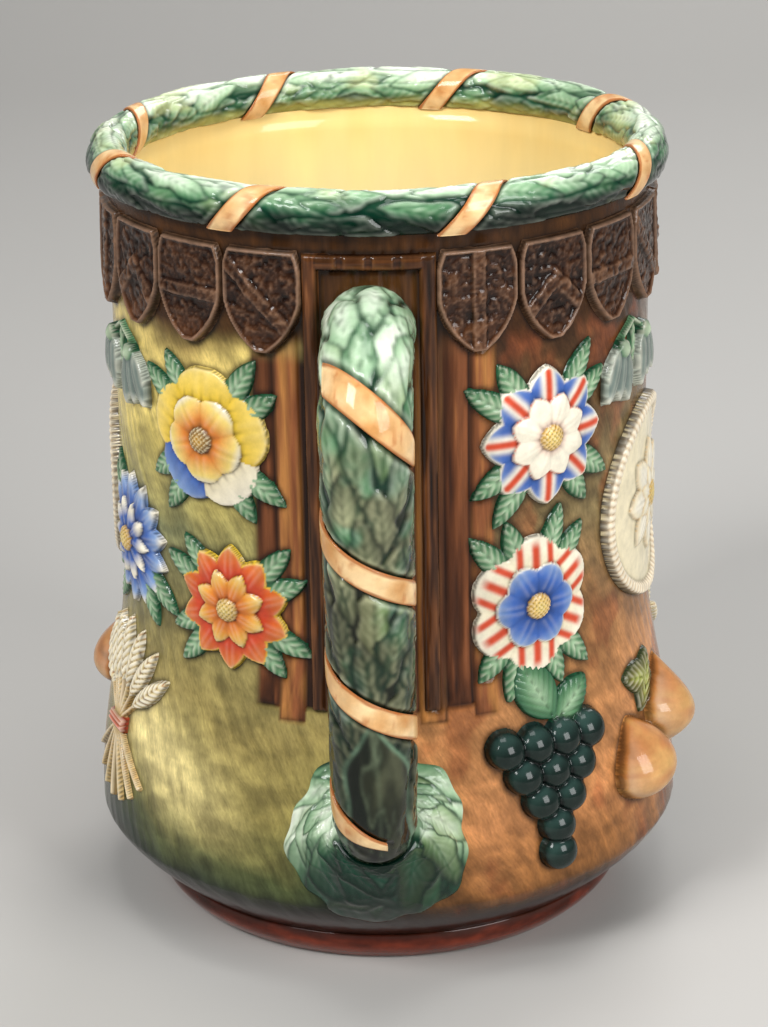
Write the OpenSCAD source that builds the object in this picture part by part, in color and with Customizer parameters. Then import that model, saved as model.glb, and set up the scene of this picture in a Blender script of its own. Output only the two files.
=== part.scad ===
// Two-handled loving cup in glazed earthenware with a laurel rim and laurel handles.
// Millimetres, +Z up, origin at the middle of the foot, front handle towards -Y.

/* [Body] */
// Overall height, floor to the highest rim leaf
cup_h = 254; // [200:1:320]
// Widest radius of the body
belly_r = 95.5; // [84:0.5:120]
// Height of the widest place
belly_z = 30; // [24:1:48]
// Radius of the straight upper body
waist_r = 84.4; // [74:0.2:100]
// Height at which the flare has run out
waist_z = 122; // [95:1:150]
// Radius just under the rim
neck_r = 84.8; // [74:0.2:100]
// Radius of the body where it stands on the foot
seat_r = 77.5; // [66:0.5:84]
// Wall thickness
wall = 5; // [3:0.5:8]
// Floor thickness
floor_t = 7; // [5:0.5:12]

/* [Foot] */
// Height of the foot ring
foot_h = 11; // [8:0.5:16]
// Outer radius of the foot on the table
foot_r = 72.3; // [60:0.1:76]
// Radius of the hollow under the foot
foot_hollow_r = 62; // [40:1:66]

/* [Rim] */
// Half width of the garland core
rim_a = 5.4; // [4:0.1:9]
// Half height of the garland core
rim_b = 6.8; // [5:0.1:10]
// Depth from the core middle down to its seat on the wall
rim_seat = 4.6; // [3:0.1:4.8]
// How far the core middle stands inside the neck radius
rim_set = 0.9; // [-2:0.1:3]
// Height of the rim leaves over the core
rim_leaf = 1.7; // [0.8:0.1:2]
// Leaf rows around the rim
rim_rows = 36; // [24:2:48]
// Leaves side by side across the rim
rim_cols = 4; // [3:1:6]
// Ribbons around the rim
rim_ribbons = 8; // [4:1:8]
// Angle of the first ribbon from the front handle
ribbon_turn = 25; // [10:0.5:30]
// Width of a rim ribbon
rim_ribbon_w = 8.5; // [5:0.5:12]
// How far a rim ribbon slants along the rim
rim_ribbon_slant = 18; // [0:1:40]
// Thickness of every ribbon
ribbon_t = 1.3; // [0.8:0.1:2]

/* [Handles] */
// Depth of the handle middle, where it leaves the body, below the top of the cup
handle_drop = 41; // [36:1:60]
// Largest radius of the handle middle line
handle_reach = 124; // [112:1:150]
// Radius of the top bend
top_bend = 26; // [20:1:34]
// Height of the handle middle on the body at the foot
handle_foot_z = 52; // [44:1:70]
// Radius of the lower bend
foot_bend = 40; // [30:1:50]
// Slope of the lower end from upright
foot_slope = 50; // [40:1:65]
// Straight stub at the lower end
foot_stub = 8; // [4:1:14]
// Handle core radius at the top
handle_r_top = 12.5; // [9:0.1:14]
// Handle core radius at the foot
handle_r_foot = 11.4; // [8:0.1:13]
// Height of the handle leaves over the core
handle_leaf = 1.7; // [0.8:0.1:2]
// Length of one handle leaf row
handle_row = 14; // [10:0.5:18]
// Leaves around the handle
handle_cols = 6; // [5:1:8]
// Width of the handle ribbon
handle_ribbon_w = 8.5; // [5:0.5:12]
// Climb of the handle ribbon in one turn
ribbon_pitch = 44; // [36:1:48]
// Length along the handle to the first front pass of the ribbon
ribbon_first = 42; // [38:1:48]
// Front passes of the ribbon
ribbon_passes = 4; // [2:1:4]
// Radius of the leaf collar on the body
collar_r = 30; // [24:0.5:31]
// Thickness of the collar at its edge
collar_t = 3.2; // [2:0.1:5]
// Leaves around the collar
collar_leaves = 11; // [8:1:12]

/* [Shields] */
// Shields on each side
side_shields = 9; // [7:1:9]
// Angle of the first shield from a handle
shield_turn = 21.5; // [21:0.5:26]
// Shield width
shield_w = 24.5; // [18:0.5:25]
// Shield height
shield_h = 31; // [22:0.5:36]
// Gap between the shields and the rim garland
shield_gap = 2; // [1:0.5:6]
// Shield thickness
shield_t = 3; // [2:0.1:4]
// Raised edge of a shield
shield_edge = 2; // [1.5:0.1:3]

/* [Trellis] */
// Angle of a stave from the handle at the top
stave_turn = 11.6; // [11:0.1:12]
// Stave width
stave_w = 5; // [3.5:0.5:5.5]
// Top of the staves below the rim garland
stave_drop = 4; // [3:0.5:8]
// Lower end of the staves
stave_foot_z = 92; // [84:1:110]
// Relief of the staves
stave_t = 2; // [1:0.1:3]

/* [Sprigs] */
// Relief of the petals and leaves
sprig_t = 2.4; // [1.6:0.1:4]
// Extra relief of the inner petals
inner_t = 1.4; // [0.6:0.1:2.5]
// Radius of a large flower
bloom_r = 22; // [16:0.5:23]
// Medallion radius
medal_r = 32; // [24:0.5:33]
// Grape radius
grape_r = 6.2; // [5:0.1:6.6]
// Pear length
pear_l = 36; // [28:1:40]
// Bell flower length
bell_l = 21; // [16:0.5:23]
// Wheat ear length
ear_l = 24; // [18:0.5:26]

/* [Hidden] */
$fn = 96;
eps = 0.01;
// Slip joint under a ribbon or a collar
seat_gap = 0.3;
// Bare stretches of a handle at its top and above its collar
top_bare = 4;
foot_bare = 6;
// Depth and length of the flat outlines that are cut to the wall
press_in = 16;
press_run = 30;
// Angle of a leaf behind a flower from the middle of its pair
twig_spread = 11;
// Where that leaf starts, as a share of the flower's radius
twig_from = 0.4;
// Angles of the sprigs from a handle, to its right
rosette_turn = 37;
striped_turn = 34;
grape_turn = 35;
pear_turn = 68;
bell_turn = 66;
medal_turn = 77;
// Angles of the sprigs from a handle, to its left
pansy_turn = 36;
dahlia_turn = 31;
aster_turn = 65;
wheat_turn = 67;
rim_r = neck_r - rim_set;
rim_z = cup_h - rim_b - rim_leaf;
body_top = rim_z - rim_seat;
seat_turn = asin(rim_seat / rim_b);
floor_z = foot_h + floor_t;
shield_top = rim_z - rim_b - rim_leaf - shield_gap;
shield_mid = shield_top - shield_h / 2;
shield_step = (180 - 2 * shield_turn) / (side_shields - 1);
stave_top = rim_z - rim_b - stave_drop;
handle_top_z = cup_h - handle_drop;
// Steps of the faceted surfaces
rim_n = rim_rows * 4;
rim_m = rim_cols * 4;
tube_m = handle_cols * 4;
sides = [0, 180];
ends = ["front", "rear"];
// Sprigs are at the size that fits the field of the wall between the shields and the belly
field_top = shield_mid - shield_h / 2;
fit = min(1, (field_top - belly_z) / (7.9 * bloom_r));
bloom = bloom_r * fit;
medal = medal_r * fit;
grape = grape_r * fit;
pear = pear_l * fit;
bell = bell_l * fit;
ear = ear_l * fit;
// Levels that the sprigs are hung from
row_a = field_top - bloom * 1.364;
row_b = row_a - bloom * 2.41;
row_c = belly_z + bloom * 1.5;
medal_z = (row_a + row_b) / 2 - bloom * 0.43;
bell_z = field_top - bell * 0.8;

// Body outline as a formula of height
function ease(t) = (1 - cos(180 * t)) / 2;
function mix(a, b, t) = a + (b - a) * t;
function body_r(z) =
    z <= belly_z
    ? let (t = max(0, (z - foot_h) / (belly_z - foot_h)))
        mix(seat_r, belly_r, (t + sin(90 * t)) / 2)
    : z <= waist_z
    ? mix(belly_r, waist_r, ease((z - belly_z) / (waist_z - belly_z)))
    : mix(waist_r, neck_r, ease((z - waist_z) / (body_top - waist_z)));
levels = concat(
    [for (i = [0:5]) mix(foot_h, belly_z, i / 6)],
    [for (i = [0:11]) mix(belly_z, waist_z, i / 12)],
    [for (i = [0:5]) mix(waist_z, body_top, i / 5)]
);
function between(za, zb) = concat([za], [for (z = levels) if (z > za + 0.3 && z < zb - 0.3) z], [zb]);
// Wall lines at a level are straight between the named levels, as the turned wall is
function band(z, i = 1) = i >= len(levels) - 1 || levels[i] >= z ? i : band(z, i + 1);
function wall_r(z) =
    let (i = band(z), a = levels[i - 1], b = levels[i])
    mix(body_r(a), body_r(b), (z - a) / (b - a));
// A place on the wall: u is the run around it from the angle turn, v the height
function on_wall(turn, u, v) =
    let (r = wall_r(v), a = turn + u / r * 180 / PI)
    [r * sin(a), -r * cos(a), v];

module body() {
    color("khaki")
    rotate_extrude()
    polygon(concat(
        [[0, foot_h]],
        [for (z = levels) [body_r(z), z]],
        [for (i = [len(levels) - 1:-1:0]) if (levels[i] > floor_z + 1) [body_r(levels[i]) - wall, levels[i]]],
        [[wall_r(floor_z) - wall - 3, floor_z], [0, floor_z]]
    ));
}

module foot_ring() {
    color("brown")
    rotate_extrude()
    polygon(concat(
        [[foot_hollow_r, foot_h], [foot_hollow_r + 2, 0]],
        [for (i = [0:8]) [mix(foot_r, seat_r, sin(90 * i / 8)) + sin(180 * i / 8), foot_h * i / 8]]
    ));
}

// Laurel leaf lattice: x runs from base to tip, y across, both in leaf units
function frac(x) = x - floor(x);
function off(y) = y - round(y);
function leaf(x, y) =
    let (w = 0.54 * pow(sin(180 * x), 0.7))
    x < 0.02 || x > 0.98 || abs(y) >= w ? 0 : (0.3 + 0.7 * x) * (1 - pow(y / w, 2));
function leaves(a, b) = max(leaf(frac(a / 2), off(b)), leaf(frac((a + 1) / 2), off(b + 0.5)));
function clear_of(gap, need) = min(1, max(0, (abs(gap) - need) / 2));

// Rim garland
function rim_tau(j) = mix(-seat_turn, 180 + seat_turn, j / rim_m);
function rim_at(turn, tau, h) =
    let (x = rim_r + (rim_a + h) * cos(tau), z = rim_z + (rim_b + h) * sin(tau))
    [x * sin(turn), -x * cos(turn), z];
function ribbon_lead(tau) = rim_ribbon_slant * (tau - 90) / 180;
// Run along the rim from a place to the nearest ribbon
function rim_gap(turn, tau) =
    let (run = 2 * PI * rim_r / rim_ribbons, k = (turn - ribbon_turn) / 360 * rim_ribbons)
    off(k - ribbon_lead(tau) / run) * run;
function rim_h(turn, j) =
    j == 0 || j == rim_m ? 0
    : rim_leaf * leaves(turn / 360 * rim_rows, j / 4)
        * clear_of(rim_gap(turn, rim_tau(j)), rim_ribbon_w / 2 + 2.5);
module rim_garland() {
    w = rim_m + 1;
    color("seagreen")
    polyhedron(
        [for (i = [0:rim_n - 1], j = [0:rim_m])
            let (turn = 360 * i / rim_n)
            rim_at(turn, rim_tau(j), rim_h(turn, j))],
        [for (i = [0:rim_n - 1], j = [0:rim_m])
            let (p = i * w, q = (i + 1) % rim_n * w, k = (j + 1) % w)
            each [[p + j, p + k, q + k], [p + j, q + k, q + j]]]
    );
}

module rim_ribbon(i) {
    steps = rim_m;
    start = ribbon_turn + 360 * (i - 1) / rim_ribbons;
    half = rim_ribbon_w / 2;
    function at(j, s, h) =
        let (tau = rim_tau(j))
        rim_at(start + (ribbon_lead(tau) - s) / (PI * rim_r) * 180, tau, h);
    color("burlywood")
    polyhedron(
        [for (j = [0:steps])
            each [at(j, half, 0), at(j, -half, 0), at(j, -half, ribbon_t), at(j, half, ribbon_t)]],
        concat(
            [[0, 1, 2], [0, 2, 3]],
            [for (j = [0:steps - 1], k = [0:3])
                let (a = 4 * j + k, b = 4 * j + (k + 1) % 4)
                each [[a, a + 4, b + 4], [a, b + 4, b]]],
            [[4 * steps, 4 * steps + 2, 4 * steps + 1], [4 * steps, 4 * steps + 3, 4 * steps + 2]]
        )
    );
}

// Handle middle line in the plane of radius and height: straight, bend, straight, bend, stub
top_start = [wall_r(handle_top_z), handle_top_z];
top_mid = [handle_reach - top_bend, handle_top_z - top_bend];
foot_end = [wall_r(handle_foot_z), handle_foot_z];
foot_mid = foot_end + foot_stub * [sin(foot_slope), cos(foot_slope)]
    - foot_bend * [cos(foot_slope), -sin(foot_slope)];
span = norm(top_mid - foot_mid);
lean = acos((foot_bend - top_bend) / span) - atan2(top_mid[1] - foot_mid[1], top_mid[0] - foot_mid[0]);
run_1 = top_mid[0] - top_start[0];
run_2 = run_1 + top_bend * (90 + lean) * PI / 180;
bar_from = top_mid + top_bend * [cos(lean), -sin(lean)];
bar_to = foot_mid + foot_bend * [cos(lean), -sin(lean)];
run_3 = run_2 + norm(bar_to - bar_from);
run_4 = run_3 + foot_bend * (foot_slope - lean) * PI / 180;
handle_run = run_4 + foot_stub;
tube_step = handle_row / 4;
tube_n = floor((run_4 - foot_bare - top_bare) / tube_step);
collar_run = top_bare + tube_n * tube_step;
function turn_at(s) =
    s < run_1 ? 90
    : s < run_2 ? 90 - (s - run_1) / top_bend * 180 / PI
    : s < run_3 ? -lean
    : s < run_4 ? -lean - (s - run_3) / foot_bend * 180 / PI
    : -foot_slope;
function mid_at(s) =
    let (a = turn_at(s), n = [cos(a), sin(a)])
    s < run_1 ? top_start + [s, 0]
    : s < run_2 ? top_mid + top_bend * n
    : s < run_3 ? mix(bar_from, bar_to, (s - run_2) / (run_3 - run_2))
    : s < run_4 ? foot_mid + foot_bend * n
    : foot_end - (handle_run - s) * [-sin(foot_slope), -cos(foot_slope)];
function tube_r(s) = mix(handle_r_top, handle_r_foot, s / handle_run);
// A place on the tube: q is 0 on the outer side of the loop and 90 to the right
function tube_at(s, q, h) =
    let (m = mid_at(s), a = turn_at(s), r = tube_r(s) + h, x = m[0] + r * cos(q) * cos(a))
    [r * sin(q), -x, m[1] + r * cos(q) * sin(a)];
ribbon_from = -60;
ribbon_to = 360 * (ribbon_passes - 1) + 20;
// Room kept between the ribbon's end and the collar: on a short bar the windings draw together for it
ribbon_room = 6;
ribbon_fit = min(1, (collar_run - ribbon_room) / (ribbon_first + ribbon_pitch * ribbon_to / 360));
ribbon_lead = ribbon_pitch * ribbon_fit;
// The ribbon meets the front at ribbon_first and then once in each pitch
function ribbon_s(q) = ribbon_first * ribbon_fit + ribbon_lead * q / 360;
function ribbon_gap(s, q) =
    let (k = (s - ribbon_s(q)) / ribbon_lead, wound = q + 360 * round(k))
    (wound < ribbon_from - 30 || wound > ribbon_to + 30 ? 1 : off(k)) * ribbon_lead;
function tube_h(s, q) =
    s < top_bare + eps || s > collar_run - foot_bare ? 0
    : handle_leaf * leaves((s - top_bare) / handle_row, q / 360 * handle_cols)
        * clear_of(ribbon_gap(s, q), handle_ribbon_w / 2 + tube_step);
function station(i) = top_bare + i * tube_step;
// Places on the wall under the two ends of the handle
function top_pad(q, k) =
    on_wall(0, k * tube_r(0) * sin(q), handle_top_z + k * tube_r(0) * cos(q));
pad_stretch = 1.18;
function foot_pad(q, k) =
    on_wall(0, k * handle_r_foot * sin(q), handle_foot_z - k * handle_r_foot * pad_stretch * cos(q));
foot_steps = 4;
function foot_at(q, k, h = 0) = mix(tube_at(collar_run, q, h), foot_pad(q, 1), k / foot_steps);

function ring_faces(a, b, n) = [for (j = [0:n - 1])
    let (k = (j + 1) % n)
    each [[a + j, a + k, b + k], [a + j, b + k, b + j]]];
module handle() {
    n = tube_m;
    rings = concat(
        [[for (j = [0:n - 1]) top_pad(360 * j / n, 0.5)]],
        [[for (j = [0:n - 1]) top_pad(360 * j / n, 1)]],
        [for (i = [0:tube_n]) [for (j = [0:n - 1])
            let (s = station(i), q = 360 * j / n)
            tube_at(s, q, tube_h(s, q))]],
        [for (i = [1:foot_steps]) [for (j = [0:n - 1]) foot_at(360 * j / n, i)]],
        [[for (j = [0:n - 1]) foot_pad(360 * j / n, 0.5)]]
    );
    last = len(rings) * n;
    color("darkseagreen")
    polyhedron(
        concat([for (r = rings) each r], [top_pad(0, 0), foot_pad(0, 0)]),
        concat(
            [for (i = [0:len(rings) - 2]) each ring_faces(i * n, (i + 1) * n, n)],
            [for (j = [0:n - 1]) [last, (j + 1) % n, j]],
            [for (j = [0:n - 1]) [last + 1, last - n + j, last - n + (j + 1) % n]]
        )
    );
}

module handle_ribbon() {
    steps = round((ribbon_to - ribbon_from) / 360 * tube_m);
    half = handle_ribbon_w / 2;
    low = seat_gap;
    top = seat_gap + ribbon_t;
    function at(j, d, h) =
        let (q = mix(ribbon_from, ribbon_to, j / steps))
        tube_at(ribbon_s(q) + d, q, h);
    color("burlywood")
    polyhedron(
        [for (j = [0:steps]) each [at(j, half, low), at(j, -half, low), at(j, -half, top), at(j, half, top)]],
        concat(
            [[0, 2, 1], [0, 3, 2]],
            [for (j = [0:steps - 1], k = [0:3])
                let (a = 4 * j + k, b = 4 * j + (k + 1) % 4)
                each [[a, b + 4, a + 4], [a, b, b + 4]]],
            [[4 * steps, 4 * steps + 1, 4 * steps + 2], [4 * steps, 4 * steps + 2, 4 * steps + 3]]
        )
    );
}

// Leaf collar: its inside lies on the handle, its back on the wall
function collar_out(q) = collar_r * (0.86 + 0.14 * abs(cos(collar_leaves / 2 * q)));
function collar_pad(q, k) =
    let (d = mix(1, collar_out(q) / handle_r_foot, k))
    on_wall(0, d * handle_r_foot * sin(q), handle_foot_z - handle_r_foot * mix(pad_stretch, d, k) * cos(q));
function lift(p, t) = let (r = norm([p[0], p[1]])) [p[0] * (1 + t / r), p[1] * (1 + t / r), p[2]];
// The back of the collar stands clear where the wall turns under the belly
function seated(p) = lift(p, p[2] < belly_z + 3 * collar_t ? 4 * seat_gap : seat_gap);
module leaf_collar() {
    n = collar_leaves * 3;
    lobes = 5;
    function ang(j) = 360 * j / n;
    function inner(j, i) = foot_at(ang(j), i);
    // The mound swells from the handle and falls to its leafy edge
    function crest(j, k) =
        let (q = ang(j), t = k / lobes, swell = foot_at(q, 1, collar_t) - foot_pad(q, 1))
        lift(collar_pad(q, t), collar_t * t) + swell * (1 - t * t);
    rings = concat(
        [for (i = [foot_steps:-1:1]) [for (j = [0:n - 1]) inner(j, i)]],
        [for (k = [0:lobes]) [for (j = [0:n - 1]) crest(j, k)]],
        [for (k = [lobes:-1:1]) [for (j = [0:n - 1]) seated(collar_pad(ang(j), k / lobes))]]
    );
    color("mediumseagreen")
    polyhedron(
        [for (r = rings) each r],
        [for (i = [0:len(rings) - 1]) each ring_faces(i * n, (i + 1) % len(rings) * n, n)]
    );
}

// Relief on the wall: a flat outline pressed through a turned shell
module shell(t, za, zb) {
    zs = between(za, zb);
    rotate_extrude()
    polygon(concat(
        [for (z = zs) [wall_r(z), z]],
        [for (i = [len(zs) - 1:-1:0]) [wall_r(zs[i]) + t, zs[i]]]
    ));
}
module facing(turn, z) {
    rotate([0, 0, turn])
    translate([0, -wall_r(z), z])
    rotate([90, 0, 0])
    children();
}
module pressed(turn, z, t, reach) {
    intersection() {
        shell(t, max(foot_h + 4, z - reach), min(body_top, z + reach));
        facing(turn, z)
        translate([0, 0, -press_in])
        linear_extrude(press_run)
        children();
    }
}
module outside(turn, z, reach) {
    difference() {
        facing(turn, z)
        children();
        rotate_extrude()
        polygon(concat(
            [[0, max(foot_h, z - reach)]],
            [for (h = between(max(foot_h, z - reach), min(body_top, z + reach))) [wall_r(h), h]],
            [[0, min(body_top, z + reach)]]
        ));
    }
}
// Pointed leaf of two arcs, from the origin upwards
module leaf_2d(l, w) {
    r = (l * l / 4 + w * w / 4) / w;
    translate([0, l / 2])
    intersection() {
        translate([r - w / 2, 0])
        circle(r);
        translate([w / 2 - r, 0])
        circle(r);
    }
}
module ring_of(n, first = 0) {
    for (i = [0:n - 1])
        rotate(first + 360 * i / n)
        children();
}

module shield_2d(w, h) {
    intersection() {
        translate([-w / 2, -h / 2])
        square([w, h]);
        translate([-w / 2, h / 2 - h / 3])
        circle(w * 1.02);
        translate([w / 2, h / 2 - h / 3])
        circle(w * 1.02);
    }
}
// Plain heraldic ordinaries: pale, chevron, fess, bend, cross, saltire, roundel
module ordinary(i) {
    k = i % 7;
    b = shield_w / 6;
    if (k == 0 || k == 4)
        square([b, 2 * shield_h], center = true);
    if (k == 2 || k == 4)
        square([2 * shield_w, b], center = true);
    if (k == 3 || k == 5)
        rotate(45)
        square([b, 2 * shield_h], center = true);
    if (k == 5)
        rotate(-45)
        square([b, 2 * shield_h], center = true);
    if (k == 1)
        polygon([[0, 1.5 * b], [shield_w, 1.5 * b - shield_w], [shield_w, -shield_w], [0, 0],
            [-shield_w, -shield_w], [-shield_w, 1.5 * b - shield_w]]);
    if (k == 6)
        circle(shield_w / 5);
}
module shield(i) {
    k = i - 1;
    turn = shield_turn + shield_step * (k % side_shields) + 180 * floor(k / side_shields);
    color("saddlebrown")
    union() {
        pressed(turn, shield_mid, shield_t - 0.9, shield_h / 2 + 1)
        shield_2d(shield_w, shield_h);
        pressed(turn, shield_mid, shield_t, shield_h / 2 + 1)
        difference() {
            shield_2d(shield_w, shield_h);
            difference() {
                shield_2d(shield_w - 2 * shield_edge, shield_h - 2 * shield_edge);
                ordinary(k);
            }
        }
    }
}

module trellis(turn) {
    mid = (stave_top + stave_foot_z) / 2;
    reach = (stave_top - stave_foot_z) / 2;
    out = waist_r * sin(stave_turn);
    in = handle_r_top + handle_leaf + 1.5;
    color("sienna")
    pressed(turn, mid, stave_t, reach) {
        for (s = [-1, 1])
            translate([s * out, 0])
            translate([-stave_w / 2, -reach])
            square([stave_w, 2 * reach]);
        translate([-out, handle_top_z + in + 1 - mid])
        square([2 * out, stave_w]);
    }
}

// A flower with two rings of petals, a boss and pairs of leaves behind
corners = [45, 135, 225, 315];
// Gaps between the petals of flowers with six and with ten.
six_gaps = [30, 150, 210, 330];
ten_gaps = [54, 126, 234, 306];
module bloom(turn, z, r, outer, inner, plump, twigs = corners) {
    reach = r * 1.25 + 2;
    union() {
        pressed(turn, z, sprig_t, reach)
        ring_of(outer)
        leaf_2d(r, r * plump);
        pressed(turn, z, sprig_t + inner_t, reach)
        ring_of(inner, 180 / inner)
        leaf_2d(r * 0.64, r * 0.64 * plump);
        pressed(turn, z, sprig_t + 2 * inner_t, reach)
        circle(r * 0.2);
        pressed(turn, z, sprig_t - 0.8, reach)
        for (q = twigs, s = [-1, 1])
            rotate(q + s * twig_spread)
            translate([0, r * twig_from])
            leaf_2d(r * (1.42 + 0.06 * s - twig_from), r * 0.38);
    }
}
module rosette(turn) { color("royalblue") bloom(turn + rosette_turn, row_a, bloom, 8, 8, 0.72); }
module striped_flower(turn) { color("ivory") bloom(turn + striped_turn, row_b, bloom, 6, 6, 0.95, six_gaps); }
module pansy(turn) { color("gold") bloom(turn - pansy_turn, row_a, bloom, 5, 5, 1.1); }
module aster(turn) {
    color("steelblue")
    bloom(turn - aster_turn, row_b + bloom * 0.41, bloom, 14, 10, 0.4, [45, 135, 225]);
}
module dahlia(turn) {
    color("firebrick")
    bloom(turn - dahlia_turn, row_b, bloom * 0.92, 10, 8, 0.6, ten_gaps);
}

module medallion(turn) {
    z = medal_z;
    at = turn + medal_turn;
    color("wheat")
    union() {
        pressed(at, z, sprig_t - 0.4, medal + 1)
        circle(medal);
        pressed(at, z, sprig_t + 0.6, medal + 1) {
            difference() {
                circle(medal);
                circle(medal - 3);
            }
            ring_of(8)
            leaf_2d(medal * 0.6, medal * 0.34);
        }
        pressed(at, z, sprig_t + 1.6, medal + 1)
        circle(medal * 0.16);
    }
}

module grapes(turn) {
    d = grape * 1.62;
    color("darkslategray")
    outside(turn + grape_turn, row_c, grape * 6.5)
    for (row = [0:4], i = [0:max(0, 3 - row)])
        translate([(i - max(0, 3 - row) / 2) * d, (1.6 - row) * d * 0.88, grape * 0.13])
        sphere(grape);
}

module pear_solid() {
    rotate([-90, 0, 0])
    rotate_extrude()
    polygon([for (i = [0:14])
        let (t = i / 14, r = pear * (0.29 * sin(180 * pow(t, 1.5)) + 0.13 * sin(180 * t)))
        [max(0, r), -pear * (t - 0.6)]]);
}
module pears(turn) {
    color("peru")
    outside(turn + pear_turn, row_c - bloom * 0.09, pear * 1.25) {
        for (s = [-1, 1])
            translate([s * pear * 0.32, s * pear * 0.14, -pear / 12])
            rotate(-s * 14)
            pear_solid();
    }
}

module ear_2d() { leaf_2d(ear, ear * 0.27); }
module wheat(turn) {
    z = row_c + bloom * 0.18;
    at = turn - wheat_turn;
    color("cornsilk")
    union() {
        pressed(at, z, sprig_t + 0.8, ear * 1.7)
        for (i = [-3:3])
            rotate(-17 * i)
            translate([0, ear * 0.5])
            ear_2d();
        pressed(at, z, sprig_t - 0.6, ear * 1.7)
        for (i = [-3:3])
            rotate(-17 * i)
            translate([-0.9, -ear * 1.1])
            square([1.8, ear * 1.7]);
        pressed(at, z, sprig_t + 0.8, ear * 1.7)
        square([ear * 0.52, ear * 0.2], center = true);
    }
}

// Two nodding bell flowers of three petals each, with stalks and a leaf
module bell_2d() {
    for (s = [-1, 0, 1])
        translate([s * bell * 0.09, -abs(s) * bell * 0.05])
        rotate(180 + s * 13)
        leaf_2d(bell * 0.9, bell * 0.38);
    translate([0, -bell * 0.12])
    circle(bell * 0.17);
}
module bells(turn, side) {
    at = turn + side * bell_turn;
    color("lightslategray")
    union() {
        pressed(at, bell_z, sprig_t + 1.2, bell * 0.75)
        for (s = [-1, 1])
            translate([s * bell * 0.4, bell * (0.42 + s * side * 0.04)])
            rotate(s * 9)
            bell_2d();
        pressed(at, bell_z, sprig_t - 0.6, bell * 0.75) {
            for (s = [-1, 1])
                translate([s * bell * 0.22, bell * 0.5])
                rotate(s * -28)
                square([bell * 0.5, bell * 0.09], center = true);
            translate([0, bell * 0.66])
            rotate(180)
            leaf_2d(bell * 0.8, bell * 0.17);
        }
    }
}

body();
foot_ring();
rim_garland();
for (i = [1:rim_ribbons])
    rim_ribbon(i);
for (k = [0, 1]) {
    rotate(sides[k]) handle();
    rotate(sides[k]) handle_ribbon();
    rotate(sides[k]) leaf_collar();
    trellis(sides[k]);
}
for (i = [1:2 * side_shields])
    shield(i);
for (k = [0, 1]) {
    tag = ["a", "b"][k];
    medallion(sides[k]);
    rosette(sides[k]);
    striped_flower(sides[k]);
    pansy(sides[k]);
    aster(sides[k]);
    dahlia(sides[k]);
    grapes(sides[k]);
    pears(sides[k]);
    wheat(sides[k]);
    bells(sides[k], 1);
    bells(sides[k], -1);
}
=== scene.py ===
"""Painted and glazed looks of a two-handled loving cup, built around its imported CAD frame.
Shapes are drawn in millimetres and scaled to metres when a mesh is made. Angles are degrees from
the front handle, positive to the right. The last number given to a noise is its seed."""
import math

import bmesh
import bpy
import numpy as np
from mathutils import Matrix, Vector


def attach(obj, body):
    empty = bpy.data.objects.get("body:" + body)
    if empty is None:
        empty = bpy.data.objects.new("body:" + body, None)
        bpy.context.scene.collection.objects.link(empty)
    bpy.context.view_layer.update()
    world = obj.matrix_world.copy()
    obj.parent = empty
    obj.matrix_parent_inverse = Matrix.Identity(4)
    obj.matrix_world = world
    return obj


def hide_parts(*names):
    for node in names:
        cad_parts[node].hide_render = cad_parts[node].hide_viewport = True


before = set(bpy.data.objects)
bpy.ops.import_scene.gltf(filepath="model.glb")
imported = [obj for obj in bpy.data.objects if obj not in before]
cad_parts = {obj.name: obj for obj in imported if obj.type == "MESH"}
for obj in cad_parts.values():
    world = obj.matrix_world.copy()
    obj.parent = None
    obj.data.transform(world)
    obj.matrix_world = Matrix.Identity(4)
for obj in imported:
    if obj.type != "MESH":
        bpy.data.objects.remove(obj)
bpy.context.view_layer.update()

MM = 0.001

# Driving sizes of the cup, as in the CAD
CUP_H, BELLY_R, BELLY_Z, WAIST_R, WAIST_Z, NECK_R = 254.0, 95.5, 30.0, 84.4, 122.0, 84.8
SEAT_R, WALL, FLOOR_T, FLOOR_ROUND = 77.5, 5.0, 7.0, 9.0
FOOT_H, FOOT_R, FOOT_HOLLOW_R = 11.0, 72.3, 62.0
RIM_A, RIM_B, RIM_SEAT, RIM_SET, RIM_LEAF = 5.4, 6.8, 4.6, 0.9, 1.7
RIBBONS, RIBBON_TURN, RIM_RIBBON_W, RIM_RIBBON_SLANT, RIBBON_T = 8, 25.0, 8.5, 18.0, 1.3
HANDLE_TOP_Z, HANDLE_REACH, TOP_BEND = 213.0, 124.0, 26.0
HANDLE_FOOT_Z, FOOT_BEND, FOOT_SLOPE, FOOT_STUB = 52.0, 40.0, math.radians(50), 8.0
HANDLE_R_TOP, HANDLE_R_FOOT, HANDLE_LEAF = 12.5, 11.4, 1.7
HANDLE_RIBBON_W, RIBBON_PITCH, RIBBON_FIRST = 8.5, 44.0, 42.0
RIBBON_FROM, RIBBON_TO = -60.0, 1100.0
COLLAR_R, COLLAR_T, PAD_STRETCH = 30.0, 3.2, 1.18
SIDE_SHIELDS, SHIELD_TURN, SHIELD_W, SHIELD_H, SHIELD_GAP = 9, 21.5, 24.5, 31.0, 2.0
STAVE_TURN, STAVE_W, STAVE_DROP, STAVE_FOOT_Z, BAR_GAP = 11.6, 5.0, 4.0, 92.0, 2.5
SPRIG_T, INNER_T, BLOOM_R, MEDAL_R = 2.4, 1.4, 22.0, 32.0
GRAPE_R, PEAR_L, BELL_L, EAR_L = 6.2, 36.0, 21.0, 24.0

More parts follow.
